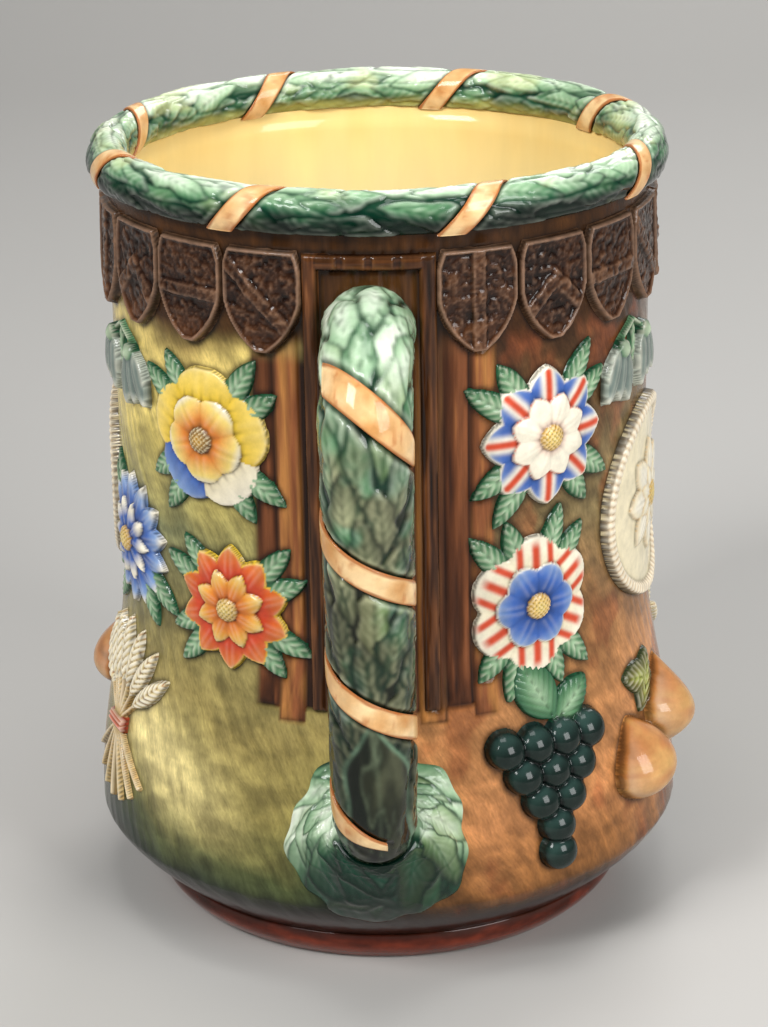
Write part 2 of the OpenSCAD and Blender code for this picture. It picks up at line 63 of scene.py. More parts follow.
# Sizes of what is drawn here alone: leaves of the sprigs and of the laurel, boards and combed strokes
TWIG_SPREAD, TWIG_FROM = 11, 0.4
CORNERS = (45, 135, 225, 315)
SIX_GAPS, TEN_GAPS = (30, 150, 210, 330), (54, 126, 234, 306)
RIM_ROWS, RIM_COLS, RIM_LEAF_L, RIM_LEAF_W = 32, 6, 31.0, 8.6
HANDLE_ROWS, HANDLE_COLS, HANDLE_LEAF_L, HANDLE_LEAF_W, HANDLE_LEAF_STEP = 19, 8, 26.0, 10.4, 11.0
BIG_LEAF_L, BIG_LEAF_W, LEAF_OVERRUN = 68.0, 22.0, 4.0
PLANK_W, PLANK_TURN = 8.4, 25.0
COMB, COMB_STRETCH = math.radians(28), 3.5

# Step of a pressed patch, and how far pieces sink into or stand off what they lie on
PATCH_STEP, SUNK, PATCH_BACK = 0.45, -1.0, 0.6
HANDLE_SINK, COLLAR_SINK, COLLAR_SET = 1.2, 1.6, 8.0
RIM_RIBBON_LIFT, HANDLE_RIBBON_LIFT = 0.2, 0.3
HOLE_R = 0.5

# Sizes that follow from them
RIM_R = NECK_R - RIM_SET
RIM_Z = CUP_H - RIM_B - RIM_LEAF
RIM_START = -math.degrees(math.asin(RIM_SEAT / RIM_B))
RIM_LEAD = RIM_RIBBON_SLANT / 180
BODY_TOP = RIM_Z - RIM_SEAT
FLOOR_Z = FOOT_H + FLOOR_T
SHIELD_MID = RIM_Z - RIM_B - RIM_LEAF - SHIELD_GAP - SHIELD_H / 2
SHIELD_FOOT = SHIELD_MID - SHIELD_H / 2
SHIELD_STEP = (180 - 2 * SHIELD_TURN) / (SIDE_SHIELDS - 1)
STAVE_TOP_Z = RIM_Z - RIM_B - STAVE_DROP
STAVE_MID = (STAVE_TOP_Z + STAVE_FOOT_Z) / 2
STAVE_REACH = (STAVE_TOP_Z - STAVE_FOOT_Z) / 2
STAVE_OUT = WAIST_R * math.sin(math.radians(STAVE_TURN))
BAR_Z = HANDLE_TOP_Z + HANDLE_R_TOP + HANDLE_LEAF + BAR_GAP + STAVE_W / 2
HANDLE_MEAN_R = (HANDLE_R_TOP + HANDLE_R_FOOT) / 2
HANDLE_AROUND = 2 * math.pi * HANDLE_MEAN_R
PAD_DROP = PAD_STRETCH * HANDLE_R_FOOT
ROW_A = SHIELD_FOOT - BLOOM_R * 1.364
ROW_B = ROW_A - BLOOM_R * 2.41
ROW_C = BELLY_Z + BLOOM_R * 1.5
MEDAL_Z = (ROW_A + ROW_B) / 2 - BLOOM_R * 0.43
BELL_Z = SHIELD_FOOT - BELL_L * 0.8

# Glaze colours, written as sRGB
VIRIDIAN, FURROW, FOREST, LEAF, MINT, ICE = "0b2f22", "0b3626", "1c5136", "5e8a62", "a8c6a0", "e8f1dd"
LIME, OLIVE, MOSS = "b4bd63", "6d6a30", "39452a"
PEACH_LIGHT, RUST = "efcf9c", "a9602c"
BARK, UMBER, TAN, GOLD_TAN = "2c170d", "4a2a16", "a5703e", "c99b58"
STRAW, CREAM, IVORY = "d9c389", "ebdfbd", "f1e9d4"
YELLOW, BUTTER, OCHRE = "e9c440", "f3d778", "c8952f"
BLUE, NAVY, SKY = "3c62ad", "1c2f63", "86a3cf"
RED, SCARLET, ORANGE = "b93a24", "cf4a2c", "de8438"
SLATE, SILVER = "6f7d76", "c5cdc4"
INK, COPPER, TERRACOTTA = "0e1614", "b4723a", "78301c"
PANSY_INKS = {2: (NAVY, BLUE, SKY), 3: (STRAW, CREAM, IVORY)}
SAGE = np.array([1.18, 1.14, 0.62])

# Colours of the ground by height, to the right and to the left of a handle. Their top stops turn dark brown
# as painted shade under the shields
GROUND_RIGHT = (
    (18, "2e2418"), (32, "86582f"), (52, "b87c4c"), (85, "b87f4e"),
    (108, "94683f"), (150, "7d6c48"), (190, "6a4a2c"), (212, "2a160b"),
)
GROUND_LEFT = (
    (16, "21130b"), (28, "1f2c22"), (40, "454d2c"), (58, "8d8148"), (84, "95854e"),
    (108, "84794a"), (136, "7c7d55"), (164, "cfba66"), (196, "efd67e"), (214, "4a2a16"),
)

# How pale the handle's laurel is painted, by length from its top end: painted light on its upturned top
# bend and painted shade lower down
HANDLE_LIT = (
    (0, 0.8), (22, 0.92), (34, 0.88), (48, 0.42), (90, 0.31), (125, 0.25), (150, 0.18), (190, 0.14),
)


# Fields and colours
def linear(colour):
    """A written sRGB colour as linear light, or a colour field as it is."""
    if not isinstance(colour, str):
        return np.asarray(colour)
    c = np.array([int(colour[i:i + 2], 16) / 255 for i in (0, 2, 4)])
    return np.where(c <= 0.04045, c / 12.92, ((c + 0.055) / 1.055) ** 2.4)


def mix(a, b, t):
    """From a to b by the field t, where a and b are written colours or colour fields."""
    t = np.clip(np.asarray(t, float), 0, 1)[..., None]
    return linear(a) * (1 - t) + linear(b) * t


def shade(colour, k):
    """A colour made k times as light, where k is a field."""
    return linear(colour) * k[..., None]


def blend(t, *stops):
    """A colour field along t, from (place, colour) stops in rising order."""
    places = [s[0] for s in stops]
    inks = np.array([linear(s[1]) for s in stops])
    return np.stack([np.interp(t, places, inks[:, k]) for k in range(3)], -1)


def smooth(a, b, t):
    """An eased step of t, 0 on the side of a and 1 on the side of b."""
    x = np.clip((np.asarray(t, float) - a) / (b - a), 0, 1)
    return x * x * (3 - 2 * x)


def lattice(i):
    """A repeatable random number from 0 to 1 at whole-number places."""
    h = (i[..., 0] * 374761393 + i[..., 1] * 668265263 + i[..., 2] * 1440662683) & 0xFFFFFFFF
    h = ((h ^ (h >> 13)) * 1274126177) & 0xFFFFFFFF
    return ((h ^ (h >> 16)) & 0xFFFF) / 65535


def noise(p, size, seed):
    """Soft noise from 0 to 1 with lumps of the given size in millimetres."""
    q = np.asarray(p, float) / size + 503.7 + 37.3 * seed
    i = np.floor(q).astype(np.int64)
    f = q - i
    f = f * f * (3 - 2 * f)
    out = 0
    for c in np.ndindex(2, 2, 2):
        w = np.prod(np.where(np.array(c) == 1, f, 1 - f), -1)
        out = out + w * lattice(i + np.array(c))
    return out


def layered(p, size, seed, depth=3):
    """Noise of several sizes, from 0 to 1. size may differ along the three axes."""
    size = np.asarray(size, float)
    parts = [noise(p, size / 2 ** k, seed + k) / 2 ** k for k in range(depth)]
    return sum(parts) / sum(1 / 2 ** k for k in range(depth))


def ripple(p, size, seed):
    """Layered noise about zero."""
    return layered(p, size, seed) - 0.5


def flat(u, v):
    return np.stack([u, v, np.zeros_like(u)], -1)


def soften(a, times, wrap=None):
    """A field averaged with its neighbours, again and again. It closes on itself along the axis wrap."""
    for _ in range(times):
        for axis in (0, 1):
            pad = [(1, 1) if k == axis else (0, 0) for k in range(a.ndim)]
            b = np.pad(a, pad, mode="wrap" if axis == wrap else "edge")
            n = b.shape[axis]
            a = (b.take(range(0, n - 2), axis) + 2 * a + b.take(range(2, n), axis)) / 4
    return a


def pool(height, rgb, times, depth, dark, pale, wrap=None, inside=None):
    """Glaze runs off the crests and pools in the furrows. Points off the piece take no part."""
    inside = np.ones(height.shape) if inside is None else inside.astype(float)
    level = soften(height * inside, times, wrap) / np.maximum(soften(inside, times, wrap), 0.01)
    hollow = (level - height) / depth * inside
    rgb = mix(rgb, rgb * dark, np.clip(hollow, 0, 1))
    return mix(rgb, pale, 0.5 * np.clip(-hollow, 0, 1))


# Body outline
def ease(x):
    return (1 - np.cos(math.pi * np.clip(x, 0, 1))) / 2


def body_r(z):
    """Radius of the outer wall at a height."""
    z = np.asarray(z, float)
    t = np.clip((z - FOOT_H) / (BELLY_Z - FOOT_H), 0, 1)
    low = SEAT_R + (BELLY_R - SEAT_R) * (t + np.sin(t * math.pi / 2)) / 2
    mid = BELLY_R + (WAIST_R - BELLY_R) * ease((z - BELLY_Z) / (WAIST_Z - BELLY_Z))
    top = WAIST_R + (NECK_R - WAIST_R) * ease((z - WAIST_Z) / (BODY_TOP - WAIST_Z))
    return np.where(z <= BELLY_Z, low, np.where(z <= WAIST_Z, mid, top))


def polar(radius, angle, z):
    radius, a, z = np.broadcast_arrays(radius, np.radians(angle), z)
    return np.stack([radius * np.sin(a), -radius * np.cos(a), z], -1)


def on_wall(turn, u, v, h):
    """u millimetres around the wall from the angle turn, v up it and h off it."""
    r = body_r(v)
    return polar(r + h, turn + np.degrees(u / r), v)


def half_turn(points):
    return points * np.array([-1, -1, 1])


# Meshes
def add_piece(node, points, faces, rgb, material, uv):
    """One visible piece that stands for a CAD node. A fourth channel of rgb is its alpha."""
    mesh = bpy.data.meshes.new("look_" + node)
    mesh.from_pydata((points * MM).tolist(), [], faces)
    mesh.polygons.foreach_set("use_smooth", np.ones(len(faces), bool))
    rgba = np.ones((len(points), 4), np.float32)
    rgba[:, :rgb.shape[1]] = np.clip(rgb, 0, 1)
    mesh.color_attributes.new("glaze", "FLOAT_COLOR", "POINT").data.foreach_set("color", rgba.ravel())
    mesh.uv_layers.new(name="OFBake").data.foreach_set("uv", uv.astype(np.float32).ravel())
    mesh.materials.append(material)
    mesh.update()
    piece = bpy.data.objects.new("look_" + node, mesh)
    bpy.context.scene.collection.objects.link(piece)
    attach(piece, "root")
    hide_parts(node)
    return piece


def grid_faces(nu, nv, wrap_u, wrap_v):
    """Quads of a grid with their map corners, wrapped where asked."""
    i, j = np.meshgrid(np.arange(nu - (not wrap_u)), np.arange(nv - (not wrap_v)), indexing="ij")
    i, j = i.ravel(), j.ravel()
    ends = [(i, j), (i + 1, j), (i + 1, j + 1), (i, j + 1)]
    faces = np.stack([(a % nu) * nv + b % nv for a, b in ends], -1)
    uv = np.stack([np.stack([a / nu, b / nv], -1) for a, b in ends], 1)
    return faces.tolist(), uv.reshape(-1, 2)


def sweep(node, grid, rgb, material, wrap_u=True, wrap_v=True):
    """A piece from a grid of points. Where its rows don't close, its ends are closed by fans."""
    nu, nv = grid.shape[:2]
    faces, uv = grid_faces(nu, nv, wrap_u, wrap_v)
    points, inks = grid.reshape(-1, 3), rgb.reshape(-1, rgb.shape[-1])
    if not wrap_u:
        points = np.concatenate([points, [grid[0].mean(0), grid[-1].mean(0)]])
        inks = np.concatenate([inks, [rgb[0].mean(0), rgb[-1].mean(0)]])
        j = np.arange(nv)
        after, last, middle = (j + 1) % nv, (nu - 1) * nv, np.full(nv, nu * nv)
        faces += np.stack([middle, after, j], -1).tolist()
        faces += np.stack([middle + 1, last + j, last + after], -1).tolist()
        uv = np.concatenate([uv, np.zeros((6 * nv, 2))])
    return add_piece(node, points, faces, inks, material, uv)


def both_ends(part, grid, rgb, wrap_u):
    """The same laurel at the front handle and, half a turn away, at the rear one."""
    sweep("front_" + part, grid, rgb, LAUREL, wrap_u)
    sweep("rear_" + part, half_turn(grid), rgb, LAUREL, wrap_u)


# Glaze
def new_material(name):
    mat = bpy.data.materials.new(name)
    mat.use_nodes = True
    return mat, mat.node_tree


def feed(tree, node, inputs):
    """Sets a node's inputs, each to a value or from the output that drives it."""
    for key, given in inputs.items():
        if isinstance(given, bpy.types.NodeSocket):
            tree.links.new(given, node.inputs[key])
        else:
            node.inputs[key].default_value = given


def add_node(tree, kind, inputs, **settings):
    """The outputs of a new node."""
    node = tree.nodes.new(kind)
    for key, given in settings.items():
        setattr(node, key, given)
    feed(tree, node, inputs)
    return node.outputs


def noise_node(tree, vector, size):
    inputs = {"Vector": vector, "Scale": 1 / size, "Detail": 5, "Roughness": 0.62}
    return add_node(tree, "ShaderNodeTexNoise", inputs)["Fac"]


def scaled(tree, colour, factor):
    inputs = {0: colour, "Scale": factor}
    return add_node(tree, "ShaderNodeVectorMath", inputs, operation="SCALE")["Vector"]


def glaze(name, mottle, mottle_size, streak=1.0, rough=0.16, bump=0.12, comb=None, coat=0.26):
    """A glossy lead glaze whose painted colour varies in thickness. With comb, strokes of that width follow
    the mesh's flow, and the mottle is left for where the paint's alpha is 1."""
    mat, tree = new_material(name)
    paint = add_node(tree, "ShaderNodeAttribute", {}, attribute_name="glaze")
    where = add_node(tree, "ShaderNodeTexCoord", {})["Object"]
    stretched = {"Vector": where, "Scale": (1, 1, 1 / streak)}
    cloud = noise_node(tree, add_node(tree, "ShaderNodeMapping", stretched)["Vector"], mottle_size)
    if comb:
        flow = add_node(tree, "ShaderNodeAttribute", {}, attribute_name="flow")["Vector"]
        strokes = {"Value": noise_node(tree, flow, comb), "To Min": 0.16, "To Max": 0.84}
        faint = add_node(tree, "ShaderNodeMapRange", strokes)["Result"]
        cloud = add_node(tree, "ShaderNodeMix", {0: paint["Alpha"], 2: faint, 3: cloud})[0]
    span = {"From Min": 0.3, "From Max": 0.7, "To Min": 1 - mottle, "To Max": 1 + mottle}
    depth = add_node(tree, "ShaderNodeMapRange", {"Value": cloud, **span})["Result"]
    relief = add_node(tree, "ShaderNodeBump", {"Height": cloud, "Strength": bump, "Distance": 0.0006})
    feed(tree, tree.nodes["Principled BSDF"], {
        "Base Color": scaled(tree, paint["Color"], depth),
        "Normal": relief["Normal"],
        "Roughness": rough,
        "Specular IOR Level": 0.12,
        "Coat Weight": coat,
        "Coat Roughness": 0.04,
    })
    return mat


GROUND = glaze("ground glaze", 0.34, 0.0022, streak=14.0, bump=0.3, comb=0.001, coat=0.14)
INSIDE = glaze("inside glaze", 0.06, 0.02, streak=5.0, bump=0.06)
LAUREL = glaze("laurel glaze", 0.2, 0.007)
RIBBON = glaze("ribbon glaze", 0.12, 0.004)
TIMBER = glaze("timber glaze", 0.3, 0.004, streak=12.0, bump=0.3)
SHIELD = glaze("shield glaze", 0.3, 0.003, rough=0.22, bump=0.4)
SPRIG = glaze("sprig glaze", 0.14, 0.005)
TERRA = glaze("terracotta glaze", 0.25, 0.006)


# Relief pressed on the wall
class Relief:
    """A height and colour field over a flat patch, drawn from the lowest layer up."""

    BELOW = -3.0

    def __init__(self, u, v):
        self.u, self.v = u, v
        self.h = np.full(u.shape, self.BELOW)
        self.rgb = np.zeros(u.shape + (3,))

    def add(self, h, rgb):
        over = h > self.h
        self.h = np.where(over, h, self.h)
        self.rgb = np.where(over[..., None], rgb, self.rgb)

    def seen(self, angle, at=(0, 0)):
        """The patch along and across a direction, in degrees anticlockwise from up."""
        a = math.radians(angle)
        u, v = self.u - at[0], self.v - at[1]
        return -math.sin(a) * u + math.cos(a) * v, math.cos(a) * u + math.sin(a) * v

    def grain(self, size, seed):
        return layered(flat(self.u, self.v), size, seed)


def vesica(x, y, l, w):
    """Depth inside a leaf of two arcs, l long from the origin and w wide."""
    r = (l * l / 4 + w * w / 4) / w
    return r - np.hypot(np.abs(y) + r - w / 2, x - l / 2)


def edge(d, t):
    """A steep wall t high around an outline."""
    return t * np.clip(d / 0.5, -2, 1)


def dome(d, half):
    return 1 - (1 - np.clip(d / half, 0, 1)) ** 2


def petals(patch, n, l, w, first, low, high, paint, at=(0, 0), curl=0.0):
    """A ring of petals. paint gives a colour from along, across, depth and the petal's number."""
    for k in range(n):
        x, y = patch.seen(first + 360 * k / n, at)
        d = vesica(x, y, l, w)
        ribs = 0.1 * np.cos(y / w * 16) * np.clip(d, 0, 1)
        h = edge(d, low) + (high - low) * dome(d, w / 2) + ribs + curl * np.clip(x / l, 0, 1) ** 3
        h = h + 0.12 * y / w - 0.25 * np.exp(-(y / (0.06 * w)) ** 2) * smooth(0, 1.5, d)
        patch.add(h, paint(x / l, 2 * y / w, d, k))


def sprig_leaf(patch, angle, l, w, high, at=(0, 0), inks=(FOREST, LEAF, MINT)):
    """A green leaf with a midrib and slanting veins."""
    x, y = patch.seen(angle, at)
    d = vesica(x, y, l, w)
    veins = 0.16 * np.cos((x - np.abs(y) * 1.3) * 1.9) * np.clip(d, 0, 1)
    rib = 0.4 * np.exp(-(y / 0.55) ** 2)
    h = edge(d, 0.6 * high) + 0.4 * high * dome(d, w / 2) + veins - rib * smooth(0, 1.5, d)
    rgb = blend(np.clip(d / (w / 2), 0, 1) + 0.25 * veins, (0, inks[0]), (0.45, inks[1]), (1, inks[2]))
    patch.add(h, rgb)


def boss(patch, r, low, high, paint, grain, at=(0, 0)):
    """The seeded middle of a flower."""
    u, v = patch.u - at[0], patch.v - at[1]
    d = r - np.hypot(u, v)
    seeds = 0.35 * (np.cos(u * 6.28 / grain) * np.cos(v * 6.28 / grain))
    patch.add(edge(d, low) + (high - low) * dome(d, r) + seeds * np.clip(d, 0, 1), paint(d / r, seeds))


def flower(outer, inner, plump, paint_outer, paint_inner, middle, r=BLOOM_R, twigs=CORNERS):
    """The drawing of a two-ringed flower over pairs of leaves."""
    def draw(patch):
        for q in twigs:
            for s in (-1, 1):
                turn = q + s * TWIG_SPREAD
                c = math.radians(turn)
                start = (-r * TWIG_FROM * math.sin(c), r * TWIG_FROM * math.cos(c))
                sprig_leaf(patch, turn, r * (1.42 + 0.06 * s - TWIG_FROM), r * 0.38, SPRIG_T - 0.8, start)
        petals(patch, outer, r, r * plump, 0, 1.2, SPRIG_T, paint_outer, curl=0.3)
        s = r * 0.64
        petals(patch, inner, s, s * plump, 180 / inner, SPRIG_T, SPRIG_T + INNER_T, paint_inner, curl=0.3)
        boss(patch, r * 0.2, SPRIG_T + INNER_T, SPRIG_T + 2 * INNER_T, middle, 1.6)
    return draw


def band_of(y, place, width):
    """1 on a stripe across a petal and 0 off it."""
    return np.exp(-((y - place) / width) ** 4)


def paint_rosette(x, y, d, k):
    rgb = blend(x, (0.2, NAVY), (0.7, BLUE), (1, SKY))
    rgb = mix(rgb, IVORY, band_of(y, 0, 0.36) * smooth(0.1, 0.3, x))
    rgb = mix(rgb, SCARLET, band_of(y, 0, 0.17))
    return mix(rgb, IVORY, 1 - smooth(0.5, 1.3, d))


def paint_rosette_eye(x, y, d, k):
    rgb = blend(x, (0, RED), (0.45, IVORY), (1, IVORY))
    return mix(rgb, SCARLET, 1 - smooth(0.3, 0.9, d))


def paint_striped(x, y, d, k):
    rgb = blend(x, (0.1, STRAW), (0.5, CREAM), (1, IVORY))
    stripes = band_of(y, 0, 0.15) + band_of(np.abs(y), 0.52, 0.12)
    return mix(rgb, SCARLET, stripes * smooth(0.98, 0.8, x))


def paint_striped_eye(x, y, d, k):
    rgb = blend(x, (0.1, NAVY), (0.6, BLUE), (1, SKY))
    return mix(rgb, IVORY, 1 - smooth(0.4, 1.0, d))


def paint_pansy(x, y, d, k):
    a, b, c = PANSY_INKS.get(k, (OCHRE, YELLOW, BUTTER))
    rgb = blend(x, (0.2, a), (0.6, b), (1, c))
    whisker = np.cos(y * 11) ** 8 * smooth(0.75, 0.35, x)
    return mix(rgb, UMBER, whisker)


def paint_pansy_eye(x, y, d, k):
    return blend(x, (0, UMBER), (0.4, ORANGE), (0.8, BUTTER), (1, IVORY))


def paint_aster(x, y, d, k):
    rgb = blend(x, (0.1, NAVY), (0.6, BLUE), (0.82, SKY), (0.97, IVORY))
    return mix(rgb, NAVY, 0.6 * band_of(y, 0, 0.2) * smooth(0.8, 0.5, x))


def paint_aster_eye(x, y, d, k):
    return blend(x, (0, NAVY), (0.5, BLUE), (0.8, IVORY), (1, IVORY))


def paint_dahlia(x, y, d, k):
    rgb = blend(x, (0.1, RED), (0.6, SCARLET), (1, ORANGE))
    return mix(rgb, YELLOW, (1 - smooth(0.3, 1.2, d)) * smooth(0.3, 0.7, x))


def paint_dahlia_eye(x, y, d, k):
    return blend(x, (0, RED), (0.5, ORANGE), (1, YELLOW))


def paint_medal_petal(x, y, d, k):
    return blend(np.clip(d / 3, 0, 1), (0, GOLD_TAN), (0.4, CREAM), (1, IVORY))


def paint_bell(x, y, d, k):
    rgb = blend(x, (0, FOREST), (0.2, SLATE), (0.75, SLATE), (1, SILVER))
    return mix(rgb, ICE, 0.7 * (1 - smooth(0.2, 0.9, d)))


def bell_cap(t, seeds):
    return blend(t, (0, FOREST), (1, MINT))


def gold_eye(t, seeds):
    return mix(blend(t, (0, OCHRE), (1, BUTTER)), UMBER, -1.6 * seeds)


def dark_eye(t, seeds):
    return mix(blend(t, (0, UMBER), (1, OCHRE)), BUTTER, 1.8 * seeds)


def draw_medallion(patch):
    u, v = patch.u, patch.v
    d = MEDAL_R - np.hypot(u, v)
    plate = edge(d, SPRIG_T - 0.4) + 0.25 * (patch.grain(5.0, 3) - 0.5)
    patch.add(plate, mix(CREAM, STRAW, smooth(6, 0, d) * 0.7))
    rim = edge(np.minimum(d, 3 - d), 0.5) + SPRIG_T + 0.1
    beads = 0.45 * np.abs(np.cos(np.arctan2(u, v) * 42))
    beaded = np.where(np.abs(d - 1.5) < 2.1, rim + beads, patch.BELOW)
    patch.add(beaded, mix(IVORY, GOLD_TAN, 0.6 - beads))
    long, short = MEDAL_R * 0.6, MEDAL_R * 0.36
    petals(patch, 8, long, MEDAL_R * 0.34, 0, SPRIG_T + 0.2, SPRIG_T + 0.9, paint_medal_petal, curl=0.2)
    petals(patch, 8, short, MEDAL_R * 0.2, 22.5, SPRIG_T + 0.8, SPRIG_T + 1.3, paint_medal_petal)
    boss(patch, MEDAL_R * 0.16, SPRIG_T + 0.8, SPRIG_T + 1.8, gold_eye, 1.5)


def draw_grapes(patch):
    step = GRAPE_R * 1.62
    sprig_leaf(patch, 28, 23, 15, 2.2, at=(3, 20))
    sprig_leaf(patch, -52, 20, 12, 2.0, at=(2, 18))
    for row in range(5):
        last = max(0, 3 - row)
        for i in range(last + 1):
            u = patch.u - (i - last / 2) * step
            v = patch.v - (1.6 - row) * step * 0.88
            d2 = GRAPE_R ** 2 - u * u - v * v
            h = np.where(d2 > 0, np.sqrt(np.maximum(d2, 0)) + 0.8, 0.8 - np.sqrt(np.maximum(-d2, 0)))
            # Painted highlight: each grape is paler on its upper left, as if lit from there
            lit_side = smooth(0.2, 1.1, (v - 0.5 * u) / GRAPE_R + 0.1)
            patch.add(h, mix(INK, "34504a", 0.6 * lit_side))


def pear_radius(t):
    t = np.clip(t, 0, 1)
    return PEAR_L * (0.29 * np.sin(math.pi * t ** 1.5) + 0.13 * np.sin(math.pi * t))


def draw_pears(patch):
    for s in (-1, 1):
        sprig_leaf(patch, 20 + 55 * s, 22, 11, 2.0, at=(s * 7, 14 + 4 * s), inks=(MOSS, OLIVE, LIME))
    for s in (-1, 1):
        x, y = patch.seen(-14 * s, (s * PEAR_L * 0.32, s * 5))
        t = 0.6 - x / PEAR_L
        r = pear_radius(t)
        inside = r * r - y * y
        h = np.where(inside > 0, np.sqrt(np.maximum(inside, 0)), -np.sqrt(np.maximum(-inside, 0))) - 3
        h = np.where((t > 0) & (t < 1), h, patch.BELOW)
        glow = layered(flat(x, y), (3.0, 9.0, 9.0), 5)
        # The pear's colour runs along its length and in blotches; its sides are also painted darker, as
        # painted shade on its round form
        ripeness_and_shade = 0.55 * t + 0.6 * glow - 0.25 * np.abs(y) / np.maximum(r, 1)
        patch.add(h, blend(ripeness_and_shade, (0, UMBER), (0.35, COPPER), (0.7, GOLD_TAN), (1, BUTTER)))


def draw_wheat(patch):
    straw = mix(STRAW, GOLD_TAN, patch.grain((1.2, 9, 9), 8))
    for i in range(-3, 4):
        x, y = patch.seen(-17 * i)
        d = np.minimum(0.9 - np.abs(y), np.minimum(x + EAR_L * 1.1, EAR_L * 0.6 - x))
        patch.add(edge(d, 1.2) + 0.6 * dome(d, 0.9), straw)
    for i in sorted(range(-3, 4), key=lambda i: -abs(i)):
        x, y = patch.seen(-17 * i)
        x = x - EAR_L * 0.5
        d = vesica(x, y, EAR_L, EAR_L * 0.27)
        grain = np.abs(np.sin((x - 1.2 * np.abs(y)) * 1.15)) ** 0.6
        keel = np.exp(-(y / 0.5) ** 2)
        h = edge(d, 1.6) + (0.5 + 1.1 * grain) * dome(d, EAR_L * 0.13) - 0.35 * keel
        patch.add(h, blend(grain - 0.3 * keel, (0, RUST), (0.4, STRAW), (1, IVORY)))
    d = np.minimum(EAR_L * 0.26 - np.abs(patch.u), EAR_L * 0.1 - np.abs(patch.v))
    ties = np.abs(np.sin(patch.v * 2.0))
    patch.add(edge(d, 2.2) + 0.8 * ties, mix(RUST, SCARLET, ties))


def draw_bells(side):
    """Two bell flowers on one stalk, the one on the given side a little higher."""
    def draw(patch):
        for s in (-1, 1):
            x, y = patch.seen(-28 * s + 90, (s * BELL_L * 0.22, BELL_L * 0.5))
            d = np.minimum(BELL_L * 0.25 - np.abs(x), BELL_L * 0.045 - np.abs(y))
            patch.add(edge(d, 1.8), linear(LEAF))
        sprig_leaf(patch, 180, BELL_L * 0.8, BELL_L * 0.17, 1.8, at=(0, BELL_L * 0.66))
        long, wide, high = BELL_L * 0.9, BELL_L * 0.38, SPRIG_T + 1.2
        for s in (-1, 1):
            u, v = s * BELL_L * 0.4, BELL_L * (0.42 + s * side * 0.04)
            tilt = 9 * s
            c, n = math.cos(math.radians(tilt)), math.sin(math.radians(tilt))
            for k in (-1, 1, 0):
                du, dv = k * BELL_L * 0.09, -abs(k) * BELL_L * 0.05
                base = (u + c * du - n * dv, v + n * du + c * dv)
                petals(patch, 1, long, wide, tilt + 180 + 13 * k, 2.2, high, paint_bell, base, curl=0.3)
            boss(patch, BELL_L * 0.17, 2.4, SPRIG_T + 1.4, bell_cap, 9.0, at=(u, v - BELL_L * 0.12))
    return draw


def shield_depth(u, v, w, h):
    """Depth inside a shield outline."""
    d = np.minimum(w / 2 - np.abs(u), h / 2 - np.abs(v))
    return np.minimum(d, w * 1.02 - np.hypot(np.abs(u) + w / 2, v - h / 6))


def ordinary(k, u, v):
    """Depth inside a plain heraldic bar, chevron, cross or roundel."""
    b = SHIELD_W / 12
    pale, fess = b - np.abs(u), b - np.abs(v)
    bend, sinister = b - np.abs(u + v) / 1.414, b - np.abs(u - v) / 1.414
    chevron = 1.06 * b - np.abs(v - 1.5 * b + np.abs(u)) / 1.414
    roundel = SHIELD_W / 5 - np.hypot(u, v)
    kinds = (pale, chevron, fess, bend, np.maximum(pale, fess), np.maximum(bend, sinister), roundel)
    return kinds[k % len(kinds)]


def draw_shield(k):
    """The drawing of the kth shield, pitted, with a thin frame and a plain charge."""
    def draw(patch):
        u, v = patch.u, patch.v
        d = shield_depth(u, v, SHIELD_W, SHIELD_H)
        lean = 0.9 * (SHIELD_H / 2 - v) / SHIELD_H
        pits, rough = patch.grain(1.5, 40 + k) - 0.5, patch.grain(5.0, 80 + k) - 0.5
        charge = smooth(-0.5, 0.6, ordinary(k, u, v) + 0.5 * rough)
        frame_edge = smooth(1.7, 0.8, d + 0.6 * rough)
        raised = np.maximum(charge, frame_edge)
        pitted = (pits + 0.9 * rough) * smooth(0.2, 1.5, d) * (1 - 0.5 * frame_edge)
        tone = 0.32 + 0.5 * pits + 0.6 * rough + 0.16 * raised
        darks = (0.05, "150b07"), (0.28, "2b180f"), (0.5, "452a19")
        rgb = blend(tone, *darks, (0.75, "6b4931"), (1.0, "9a7a60"))
        warm = smooth(-4, -15, v) * noise(flat(u, v), 7.0, k)
        rgb = mix(rgb, "7d4a26", 0.5 * warm)
        rim = smooth(1.2, 0.2, d) * (0.2 + 0.8 * noise(flat(u, v), 4.0, 7 + k))
        patch.add(edge(d, 1.5) + lean + 0.8 * raised + pitted, mix(rgb, "94755c", 0.5 * rim))
    return draw


def draw_trellis(patch):
    u, v = patch.u, patch.v
    for s in (-1, 1):
        d = np.minimum(STAVE_W / 2 - np.abs(u - s * STAVE_OUT), STAVE_REACH - np.abs(v))
        grain = patch.grain((1.0, 20.0, 9.0), 60 + s)
        tone = 0.75 * grain + 0.25 * patch.grain((4.0, 13.0, 9.0), 64 + s)
        h = edge(d, 1.2) + 0.7 * dome(d, STAVE_W / 2) + 0.9 * (grain - 0.5)
        rgb = blend(tone, (0.25, "170b05"), (0.5, "3a1f0f"), (0.7, "63391d"), (0.85, "8a5a32"))
        patch.add(h, mix(rgb, TAN, 0.12 * smooth(0.9, 0.2, d)))
    d = np.minimum(STAVE_OUT - np.abs(u), STAVE_W / 2 - np.abs(v - (BAR_Z - STAVE_MID)))
    blocks = np.abs(np.sin(u * 0.38))
    h = edge(d, 1.2) + 0.8 * smooth(0.3, 0.5, blocks) * dome(d, STAVE_W / 2)
    grain = patch.grain((14.0, 1.3, 9.0), 66)
    patch.add(h, blend(grain, (0.25, "170b05"), (0.5, "351c0e"), (0.8, "643c20")))


stamps = []


def place(turn, z, u, v, h):
    """A pressed patch keeps its flat outline, as a mould leaves it."""
    r = body_r(z + v)
    return polar(r + h, turn + np.degrees(np.arcsin(np.clip(u / r, -1, 1))), z + v)


